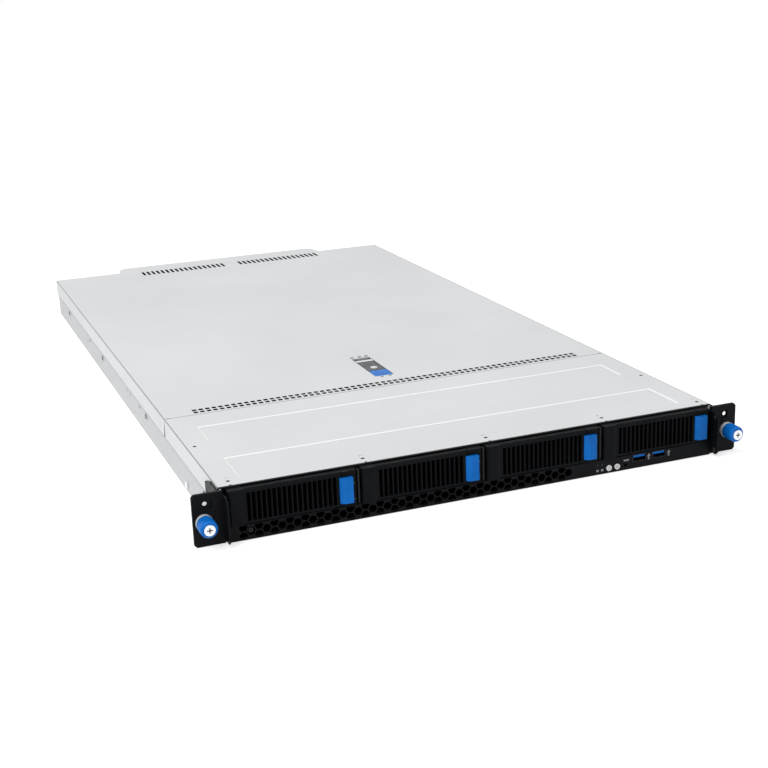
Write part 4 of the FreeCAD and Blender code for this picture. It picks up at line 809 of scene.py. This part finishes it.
def make_light_pipes(n, body, left):
    lights = Shape()
    for z in (31.5, 18.5):
        centre = (left + 101, -4.5, z)
        # A near-black ring round each lens: painted shade.
        lights.ring("y", centre, [(0.85, -0.15), (1.25, -0.15), (1.25, 0.3), (0.85, 0.3)], shade_black, 16)
        lights.turned("y", centre, [(0.85, 0.4), (0.85, 0), (0.6, -0.2)], lamp_clear, 14)
    lights.finish("tray_%d_light_pipes" % n, "black_plastic", body)


def make_tray_screws(n, body, left):
    """The ends of the handle's pin, and the screws that hold the drive from the sides."""
    pins = Shape()
    for z, way in ((42.2, 1), (13.4, -1)):
        pins.turned("z", (left + 4.2, -0.6, z - 0.6 * way), [(1.15, 0), (1.15, 0.55 * way)], dark_steel, 14)
    for x, way in ((left + 0.7, 1), (left + 102.5, -1)):
        for y in (40, 118):
            pins.turned("x", (x, y, 22), [(2.4, 0), (2.4, 0.35 * way), (1.9, 0.55 * way)], silver, 16)
    pins.finish("tray_%d_screws" % n, "bright_metal", body)


def make_drive_label(n, body, left):
    """A bare label, the motor's seal and the screws on top of the drive."""
    label = Shape()
    top = 40.4
    label.box(left + 14, left + 89, 40, 128, top - 0.1, 40.58, bare_label)
    label.box(left + 18, left + 60, 46, 47, top, 40.62, mark_grey)
    label.turned("z", (left + 51.6, 138, top), [(3.2, 0), (3.2, 0.4), (2.6, 0.5)], silver, 20)
    for dx, y in ((8, 26), (95, 26), (8, 100), (95, 100), (30, 30), (73, 30)):
        label.turned("z", (left + dx, y, top), [(1.9, 0), (1.9, 0.25), (1.5, 0.35)], rivet_steel, 14)
    label.finish("drive_%d_label" % n, "aluminium", body)


def make_release_grip(n):
    """Ridges across the release's face."""
    grip = Shape()
    low, high = box_mm("release_%d" % n)
    for k in range(5):
        z = 22 + k * 2.4
        grip.box(low.x + 4.6, high.x - 1.2, low.y - 0.02, low.y + 0.3, z, z + 0.5, blue_mould)
    grip.finish("release_%d_grip" % n, "blue_plastic", "handle_release_%d" % n)


def make_bays():
    for n in BAYS:
        body = "drive_tray_%d" % n
        left = box_mm("tray_%d" % n)[0].x
        make_tray_screen(n, body, left)
        make_light_pipes(n, body, left)
        make_tray_screws(n, body, left)
        make_drive_label(n, body, left)
        make_release_grip(n)


def make_rack_screws():
    """Each thumbscrew's knurling, thread and spring."""
    for word, side in (("left", -1), ("right", 1)):
        body = word + "_rack_screw"
        centre = (SCREW_X * side, 0, SCREW_Z)
        knob = Shape()
        knob.ring("y", centre, [(6.5, -17.6), (6.72, -17.2), (6.72, -7), (6.5, -6.6), (6.3, -6.6),
                                (6.3, -17.6)], blue_mould, 72, 0.26)
        knob.ring("y", (SCREW_X * side, -18.9, SCREW_Z),
                  [(4.4, -0.02), (4.9, -0.02), (4.7, 0.25), (4.4, 0.25)], blue_mould, 40)
        knob.finish(word + "_knob_knurl", "blue_plastic", body)
        screw = Shape()
        screw.thread(centre, 0.6, 8.6, 2.45, 2.8, 0.8, silver)
        screw.turned("y", centre, [(2.5, 8.9), (1.9, 9)], silver, 18)
        screw.finish(word + "_screw_thread", "bright_metal", body)
        spring = Shape()
        spring.thread(centre, -6.3, -4.9, 1.70, 2.22, 0.5, silver)
        spring.finish(word + "_screw_spring", "bright_metal", body)


# ---- top and sides
def make_emboss_bends():
    """The bright slopes round the two pressed fields of the front panel, whose light steel is a painted
    highlight.
    """
    shine = Shape()
    low = LID_TOP - 0.7
    half = SIDE - 21.2
    run = 2
    for y0, y1 in ((18, 67), (115, 153)):
        outer = [(-half, y0), (half, y0), (half, y1), (-half, y1)]
        inner = [(-half + run, y0 + run), (half - run, y0 + run), (half - run, y1 - run),
                 (-half + run, y1 - run)]
        points = [(x, y, LID_TOP - 0.01) for x, y in outer] + [(x, y, low + 0.01) for x, y in inner]
        points += [(x, y, low - 0.05) for x, y in outer]
        faces = []
        for i in range(4):
            j = (i + 1) % 4
            faces += [[i, j, 4 + j, 4 + i], [4 + i, 4 + j, 8 + j, 8 + i], [i, 8 + i, 8 + j, j]]
        shine.add(points, faces, highlight_bend_steel)
    shine.finish("emboss_bends", "light_steel")


def make_panel_fasteners():
    """Flush screws, dimples and slots of the front panel: the dark discs are painted shade, the light discs
    painted highlight on the dimples.
    """
    spots = Shape()

    def disc(x, y, radius, finish, proud=PROUD, sides=16):
        spots.turned("z", (x, y, LID_TOP), [(radius, -SUNK), (radius, proud)], finish, sides)

    def slot(x0, x1, y0, y1):
        spots.box(x0, x1, y0, y1, LID_TOP - SUNK, LID_TOP + PROUD, rivet_steel)

    for x in (-208, -97.8, 10, 118.2, 212.6):
        disc(x, 14, 1.6, hole_shade)
        disc(x - 0.5, 5, 1.1, hole_shade, sides=12)
        disc(x + 1, 19.5, 1.4, dimple_highlight, proud=0.02)
        slot(x - 0.6, x + 2.4, 20.6, 21.4)
    for x in (-212, 212):
        disc(x, 104, 1.5, hole_shade)
        for y in (87, 163):
            disc(x, y, 1.5, dimple_highlight, proud=0.02)
            slot(x - 1.3, x + 1.3, y + 1.1, y + 1.6)
    spots.finish("panel_fasteners", "light_steel")


def make_latch_tabs():
    """Slots in the cover, behind and in front of the latch, drawn as painted shade."""
    marks = Shape()
    for places, half, y0, y1 in (((-6, 2, 9), 1.6, 288.5, 291.5), ((-2, 6), 1.4, 215.5, 217.5)):
        for x in places:
            marks.box(x - half, x + half, y0, y1, LID_TOP - SUNK, LID_TOP + PROUD, hole_shade)
    marks.finish("latch_pan_tabs", "zinc_steel", "cover")


def make_latch_ribs():
    """On the lever: a white strip, the grip's middle, the shadow lines and the lock's rim."""
    lever = Shape()
    up = LID_TOP - 0.3
    low = up - SUNK
    lever.box(-7.2, 10.2, 272.6, 277.4, low, up + 0.1, white_mould)
    lever.box(-5.2, 8.2, 223.5, 235, low, up + 0.12, mid_blue)
    lever.box(-7.5, 10.5, 238.4, 239.1, low, up + 0.04, shade_black)
    for x in (-7.5, 10.1):
        lever.box(x, x + 0.4, 224, 272, low, up + 0.05, shade_black)
    lever.ring("z", (LATCH_X, 250, up), [(2.75, -0.3), (3.6, -0.3), (3.5, 0.1), (2.75, 0.1)], silver, 28)
    lever.finish("latch_ribs", "blue_plastic", "cover_latch")


def make_side_rivets():
    side = Shape()
    for way in (-1, 1):
        x = SIDE * way
        for y in (203, 368, 528, 755):
            # Each rivet's head is lighter steel, a painted highlight.
            side.turned("x", (x - 0.25 * way, y, 34), [(1.9, 0), (1.9, 0.2 * way), (1.5, 0.27 * way)],
                        dimple_highlight, 18)
            side.ring("x", (x - 0.2 * way, y, 34),
                      [(1.9, 0), (2.3, 0), (2.3, 0.23 * way), (1.9, 0.23 * way)], rivet_steel, 20)
    side.finish("cover_side_rivets", "light_steel", "cover")


def make_side_studs():
    """The rims and faces of the rail studs, the front button and two screws on each side."""
    studs = Shape()
    for way in (-1, 1):
        wall = WALL * way
        end = wall + STUD_LENGTH * way
        for y in STUD_Y:
            studs.ring("x", (wall, y, STUD_Z), [(2.45, 0), (4.2, 0), (4, 0.35 * way), (2.45, 0.35 * way)],
                       side_steel, 28)
            studs.ring("x", (end, y, STUD_Z), [(0.9, -0.3 * way), (1.4, 0.02 * way), (1.9, 0.02 * way),
                                               (2.2, -0.3 * way)], silver, 24)
            studs.turned("x", (end, y, STUD_Z), [(0.7, -0.3 * way), (0.7, PROUD * way)], rivet_steel, 14)
        studs.turned("x", (wall, 115, 7), [(3, 0), (3, 0.3 * way), (2, 0.5 * way), (2, 1.1 * way),
                                               (3.1, 1.15 * way), (3.1, 1.5 * way)], silver, 24)
        studs.turned("x", (wall, 55, 20), [(2.5, 0), (2.5, 0.4 * way), (1.8, 0.8 * way)], dark_steel, 20)
        studs.turned("x", (wall, 68, 8), [(1.6, 0), (1.6, 0.3 * way), (1.1, 0.45 * way)], rivet_steel, 16)
    studs.finish("side_stud_faces", "zinc_steel")


# ---- rear
def make_slot_vents():
    """Honeycomb blanks in the two expansion openings, with frames and a black backing of painted shade."""
    sheet = Shape()
    front, back = PANEL_REAR - 0.8, PANEL_REAR - 0.1
    low, high = 25.1, 38.4
    for x0, x1 in rear_openings():
        sheet.honeycomb(x0 + 0.2, x1 - 0.2, 25.2, 38.3, front, back, 5, 1.1, zinc)
        sheet.box(x0 + 0.1, x1 - 0.1, PANEL_REAR - 0.95, PANEL_REAR - 0.85, low, high, shade_black)
        for z in (low, 37.6):
            sheet.box(x0 + 0.1, x1 - 0.1, front, back, z, z + 0.8, zinc)
        for x in (x0 + 0.1, x1 - 0.9):
            sheet.box(x, x + 0.8, front, back, low, high, zinc)
    sheet.finish("slot_blank_vents", "zinc_steel")


def make_rear_screws():
    screws = Shape()
    for x0, x1 in rear_openings():
        for x in (x0 - 2.6, x1 + 2.6):
            screws.turned("y", (x, PANEL_REAR, 32), [(1.9, -0.2), (1.9, 0.5), (1.4, 0.8)], silver, 18)
            # The screw's slot, as painted shade.
            screws.box(x - 1.1, x + 1.1, PANEL_REAR + 0.75, PANEL_REAR + 0.82, 31.8, 32.2, shade_black)
    screws.finish("rear_panel_screws", "bright_metal")


def add_pin_socket(jacks, number, x0, x1, z0, z1):
    """A shell with sloping sides, its pins, and a hex post at each end."""
    rear = PORT_REAR
    jacks.prism("y", [(x0 + 5.5, z0 + 2.4), (x1 - 5.5, z0 + 2.4), (x1 - 4.4, z1 - 2.4), (x0 + 4.4, z1 - 2.4)],
                rear - PORT_DEPTH, rear - 0.4, silver)
    jacks.prism("y", [(x0 + 6.3, z0 + 3.1), (x1 - 6.3, z0 + 3.1), (x1 - 5.3, z1 - 3.1), (x0 + 5.3, z1 - 3.1)],
                rear - 0.5, rear - 0.3, blue_mould if number % 2 else inner_black)
    level = z0 + (z1 - z0) / 2
    rows = 3 if number == max(PORTS) - 1 else 2
    for row in range(rows):
        for k in range(5):
            x = (x0 + x1) / 2 + (k - 2) * 2.5 + (0.6 if row % 2 else 0)
            z = level + (row - (rows - 1) / 2) * 1.9
            jacks.turned("y", (x, rear, z), [(0.45, -0.4), (0.45, -0.22)], gold, 8)
    for x in (x0 + 2.7, x1 - 2.7):
        jacks.turned("y", (x, rear, level), [(2.1, -PORT_DEPTH), (2.1, -0.1)], silver, 6)
        # The post's hole, as painted shade.
        jacks.turned("y", (x, rear, level), [(1.2, -0.1), (1.2, -0.02)], shade_black, 12)


def add_network_socket(jacks, x0, x1, z0, z1):
    """The tongue, eight contacts and two lamps of a network socket."""
    rear = PORT_REAR
    middle = (x0 + x1) / 2
    jacks.box(middle - 3, middle + 3, rear - PORT_DEPTH, rear - 1, z0 + 1.2, z0 + 2.6,
              inner_black)
    for k in range(8):
        x = middle + (k - 3.5) * 1.05
        jacks.box(x - 0.25, x + 0.25, rear - 11, rear - 2.5, z1 - 2.6, z1 - 2.2, gold)
    for x, lamp in ((x0 + 2.2, lamp_green), (x1 - 2.2, lamp_clear)):
        jacks.box(x - 0.9, x + 0.9, rear - 1.2, rear - 0.2, z1 - 2.2, z1 - 1.3, lamp)


def add_usb_socket(jacks, x0, x1, z0):
    """The tongue and four contacts of a USB socket."""
    rear = PORT_REAR
    middle = (x0 + x1) / 2
    jacks.box(middle - 5.3, middle + 5.3, rear - 11.5, rear - 1, z0 + 3.2, z0 + 5, blue_mould)
    for k in range(4):
        x = middle + (k - 1.5) * 2.2
        jacks.box(x - 0.5, x + 0.5, rear - 11, rear - 1.2, z0 + 3.05, z0 + 3.25, gold)


def make_rear_ports():
    """What each rear socket holds, chosen by its width and height."""
    jacks = Shape()
    for number, (x0, x1, z0, z1) in PORTS.items():
        if x1 - x0 > 20:
            add_pin_socket(jacks, number, x0, x1, z0, z1)
        elif z1 - z0 > 10:
            add_network_socket(jacks, x0, x1, z0, z1)
        else:
            add_usb_socket(jacks, x0, x1, z0)
    jacks.finish("rear_port_inserts", "bright_metal")


def rear_openings():
    """Left and right edge of the two expansion openings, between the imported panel's faces."""
    edges = sorted({round(low.x, 2) for face, low, high in faces_of("rear_panel")
                    if abs(face.normal.x) > 0.9 and low.z > 24.5 and high.z < 39})
    return [(edges[0], edges[1]), (edges[2], edges[3])]


def make_supply_fan(word, middle):
    """A supply's small fan with nine blades, behind its wire guard."""
    x, z = middle - 19, 21.5
    centre = (x, 0, z)
    fan = Shape()
    fan.turned("y", centre, [(7, 808.2), (7, 810.6), (6.3, 811.2), (2, 811.3)], inner_black, 28)
    for k in range(9):
        angle = 2 * math.pi * k / 9
        corners = ((6.8, 0, 808.3), (17, 0.16, 808.3), (17, 0.62, 810.6), (6.8, 0.55, 810.6))
        points = [around("y", centre, reach, angle + turn, place + lift)
                  for reach, turn, place in corners for lift in (0, 0.5)]
        fan.add(points, [[0, 2, 4, 6], [1, 7, 5, 3], [0, 1, 3, 2], [2, 3, 5, 4], [4, 5, 7, 6], [6, 7, 1, 0]],
                inner_black)
    wire = 0.45
    for reach in (5, 9, 13, 17):
        fan.ring("y", (x, 812.9, z),
                 [(reach - wire, -0.3), (reach, -0.6), (reach + wire, -0.3), (reach + wire, 0.3),
                  (reach, 0.6), (reach - wire, 0.3)], silver, 48)
    fan.turned("y", centre, [(2.6, 811.4), (2.6, 811.5)], bare_label, 20)
    for dx, dz in ((-16, -16), (16, -16), (-16, 16), (16, 16)):
        fan.turned("y", (x + dx, SUPPLY_REAR, z + dz), [(1.7, -0.2), (1.7, 0.3), (1.1, 0.55)], silver, 16)
    fan.finish(word + "_supply_fan", "bright_metal", word + "_supply")


def make_supply_details(word, middle):
    """The inlet's frame, a lamp, two rows of vents at the rear, vents and a bare label on top; the vents are
    dark discs of painted shade.
    """
    extras = Shape()
    rear, top = SUPPLY_REAR, SUPPLY_TOP
    inlet = middle + 21.5
    for left, right, z0, z1 in ((-13.6, -12.5, 12.4, 30.6), (12.5, 13, 12.4, 30.6),
                                (-12.5, 12.5, 12.4, 13.5), (-12.5, 12.5, 29.5, 30.6)):
        extras.box(inlet + left, inlet + right, rear - 0.2, rear + 1, z0, z1, inner_black)
    extras.turned("y", (inlet, rear, 36), [(1.3, -0.1), (1.3, 0.4), (0.9, 0.7)], lamp_green, 16)
    for k in range(7):
        x = middle + 11 + k * 3.4
        for dx, z in ((0, 6.2), (1.7, 9.1)):
            extras.turned("y", (x + dx, rear, z), [(1.2, -0.1), (1.2, PROUD)], shade_black, 6)
    for k in range(10):
        y = 640 + k * 12
        for dx, dy in ((0, 0), (6, 6), (-6, 6)):
            extras.turned("z", (middle + dx, y + dy, top), [(1.9, -0.1), (1.9, PROUD)], shade_black, 6)
    extras.box(middle + 14, middle + 34, 650, 780, 41.45, 41.53, bare_label)
    extras.box(middle + 17, middle + 31, 660, 662, top, 41.56, mark_grey)
    extras.finish(word + "_supply_details", "black_plastic", word + "_supply")


def make_supplies():
    for word, middle in (("left", -SUPPLY_X), ("right", SUPPLY_X)):
        make_supply_fan(word, middle)
        make_supply_details(word, middle)


# ---- inside
def make_board_parts():
    """Coils, capacitors, chips and connectors on the main board."""
    top = BOARD_TOP
    board = Shape()

    def chip(x, y, wide, deep, tall, finish=chip_black):
        board.box(x - wide / 2, x + wide / 2, y - deep / 2, y + deep / 2, top, top + tall, finish)

    for side in (-1, 1):
        for k in range(7):
            x = side * 122 + (k - 3) * 9.5
            chip(x, 332, 7.5, 7.5, 4.2)
            chip(x, 342, 5.2, 4.8, 1.2)
            board.turned("z", (x, 322, top), [(3, 0), (3, 6), (2.7, 6.4)], silver, 16)
        for k in range(8):
            board.turned("z", (side * (40 + k * 10), 500, top), [(2.6, 0), (2.6, 5.4), (2.3, 5.8)],
                         silver, 14)
        plug = side * 200
        chip(plug, 520, 12, 30, 9, white_mould)
        for k in range(10):
            y = 506.5 + k * 2.9
            for x0, x1 in ((plug - 3.4, plug - 2.2), (plug + 2.2, plug + 3.4)):
                board.box(x0, x1, y, 507.7 + k * 2.9, top + 8, top + 9.2, gold)
        chip(side * 178, 575, 50, 8, 9, inner_black)
        chip(side * 150, 540, 14, 14, 1.4)
    board.box(-22, 22, 558, 602, top, top + 2, chip_black)
    board.box(-20, 20, 560, 600, top + 2, top + 5, aluminium)
    for k in range(9):
        x = -19 + k * 4.5
        board.box(x, x + 1.4, 560, 600, top + 5, top + 12, aluminium)
    board.turned("z", (-70, 575, top), [(11, 0), (11, 2.2), (10.6, 2.4)], inner_black, 32)
    board.turned("z", (-70, 575, top + 2), [(10, 0), (10, 3), (9.4, 3.3)], silver, 32)
    for x, y, wide, deep in ((60, 570, 17, 17), (95, 590, 12, 12), (60, 600, 9, 9), (-110, 560, 14, 10),
                             (-115, 595, 10, 10), (30, 640, 22, 22), (-40, 660, 15, 15), (90, 700, 12, 14),
                             (-90, 690, 9, 14), (0, 740, 17, 12)):
        chip(x, y, wide, deep, 1.6)
        for k in range(4):
            place = y - deep / 2 + 1.5 + k * deep / 4
            chip(x - wide / 2 - 2.2, place, 1, 1.8, 0.7, ceramic)
            chip(x + wide / 2 + 2.2, place, 1, 1.8, 0.7, ceramic)
    for row in range(3):
        for k in range(16):
            chip(-118 + k * 16 + random.uniform(-2, 2), 616 + row * 66 + random.uniform(-3, 3), 2, 1.2, 0.8,
                 ceramic)
    for x in (-205.794, 205.794):
        for y in (308, 453, 598):
            board.turned("z", (x, y, top), [(2.9, 0), (2.9, 0.5), (2, 1.2)], silver, 16)
    board.finish("board_components", "circuit_board")


def make_memory_chips():
    """Chips on both faces of each module, with a gap in the middle for the smaller one."""
    memory = Shape()
    for x in dimm_places():
        for side in (-1, 1):
            face = x + 0.65 * side
            for k in (0, 1, 2, 3, 5, 6, 7, 8):
                y = 356 + k * 14.4
                memory.stand_out(face, 0.95 * side, y - 5, y + 5, 19, 31, chip_black)
            memory.stand_out(face, 0.06 * side, 352, 480, 10, 12.6, gold)
            memory.stand_out(face, 0.7 * side, 410, 418, 24, 29, chip_black)
    memory.finish("memory_chips", "circuit_board")


def make_heatsink_clips():
    sinks = Shape()
    low, high = box_mm("cpu_heatsinks")
    for side in (-1, 1):
        middle = side * (high.x + sink_inner()) / 2
        for y in (low.y + 10, high.y - 10):
            sinks.box(middle - 30, middle + 30, y - 2.2, y + 2.2, high.z, high.z + 0.5, aluminium)
            for x in (middle - 24, middle + 24):
                sinks.turned("z", (x, y, high.z + 0.5), [(3.2, 0), (3.2, 0.8), (2.5, 1)], silver, 20)
    sinks.finish("heatsink_clips", "aluminium")


def fan_middle(n):
    low, high = box_mm("fan_rotor_%d" % n)
    return (low.x + high.x) / 2


def make_rotor_labels():
    """A disc and a ring on each hub, which turn with the rotor."""
    for n in FANS:
        hub = Shape()
        centre = (fan_middle(n), box_mm("fan_rotor_%d" % n)[0].y, FAN_Z)
        hub.turned("y", centre, [(7.4, 0.05), (7.4, -0.05)], mark_grey, 28)
        hub.ring("y", centre, [(9.4, -0.08), (10.6, -0.08), (10.6, 0.05), (9.4, 0.05)], inner_black, 28)
        hub.finish("rotor_%d_label" % n, "black_plastic", "rotor_%d" % n)


def make_fan_labels():
    """Screw holes in front, as painted shade, a bare label and two ribs on top of each fan frame."""
    fans = Shape()
    for n in FANS:
        x = fan_middle(n)
        for place in (x - 17.2, x + 17.2):
            for z in (5, 39.4):
                fans.turned("y", (place, 214.98, z), [(1.9, 0.02), (1.9, -0.05)], shade_black, 16)
        fans.box(x - 12, x + 12, 232, 256, 42.1, 42.26, bare_label)
        fans.box(x - 9, x + 9, 236, 237.2, 42.2, 42.3, mark_grey)
        for y in (221, 265):
            fans.box(x - 18, x + 18, y, y + 1.2, 42.15, 42.3, inner_black)
    fans.finish("fan_labels", "black_plastic")


def make_shroud_ribs():
    ribs = Shape()
    top = box_mm("air_shroud")[1].z
    for side in (-1, 1):
        for k in range(6):
            y = 292 + k * 9
            ribs.stand_out(side * 60, side * 126, y, y + 1.2, top, top + 0.3, inner_black)
    ribs.finish("shroud_ribs", "black_plastic")


def make_backplane_parts():
    """Cable sockets with their contacts, and small parts, behind each bay."""
    back = Shape()
    face = box_mm("backplane")[1].y
    for bay in range(4):
        middle = (bay - 1.5) * BAY_PITCH
        for x in (middle - 38, middle, middle + 38):
            back.box(x - 6, x + 6, face, face + 6, 15.5, 22.5, inner_black)
            for k in range(4):
                back.box(x - 4.5 + k * 2.6, x - 3.5 + k * 2.6, face + 6, face + 6.4, 17, 21, gold)
        for k in range(6):
            back.box(middle - 44 + k * 15, middle - 42 + k * 15, face, face + 0.9, 39.2, 40.2, ceramic)
    back.finish("backplane_components", "circuit_board")


def dimm_places():
    """X of each memory module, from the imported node's faces."""
    mesh = nodes["dimm_modules"].data
    xs = sorted({round(v.co.x / MM, 2) for v in mesh.vertices})
    return [(xs[i] + xs[i + 1]) / 2 for i in range(0, len(xs), 2)]


def sink_inner():
    """Inner edge of the heatsinks."""
    mesh = nodes["cpu_heatsinks"].data
    return min(v.co.x / MM for v in mesh.vertices if v.co.x > 0)


# ---- the whole scene
add_camera()
add_studio()
dress_nodes()
for make in (make_duct_shade_sheet, make_vent_shade_sheets, make_fascia_screw, make_guard_rivets, make_status_lamps,
             make_control_marks, make_button_marks, make_usb_contacts, make_bays, make_rack_screws,
             make_emboss_bends, make_panel_fasteners, make_latch_tabs, make_latch_ribs, make_side_rivets,
             make_side_studs, make_slot_vents, make_rear_screws, make_rear_ports, make_supplies,
             make_board_parts, make_memory_chips, make_heatsink_clips, make_rotor_labels, make_fan_labels,
             make_shroud_ribs, make_backplane_parts):
    make()

bpy.context.scene.view_settings.view_transform = "Standard"
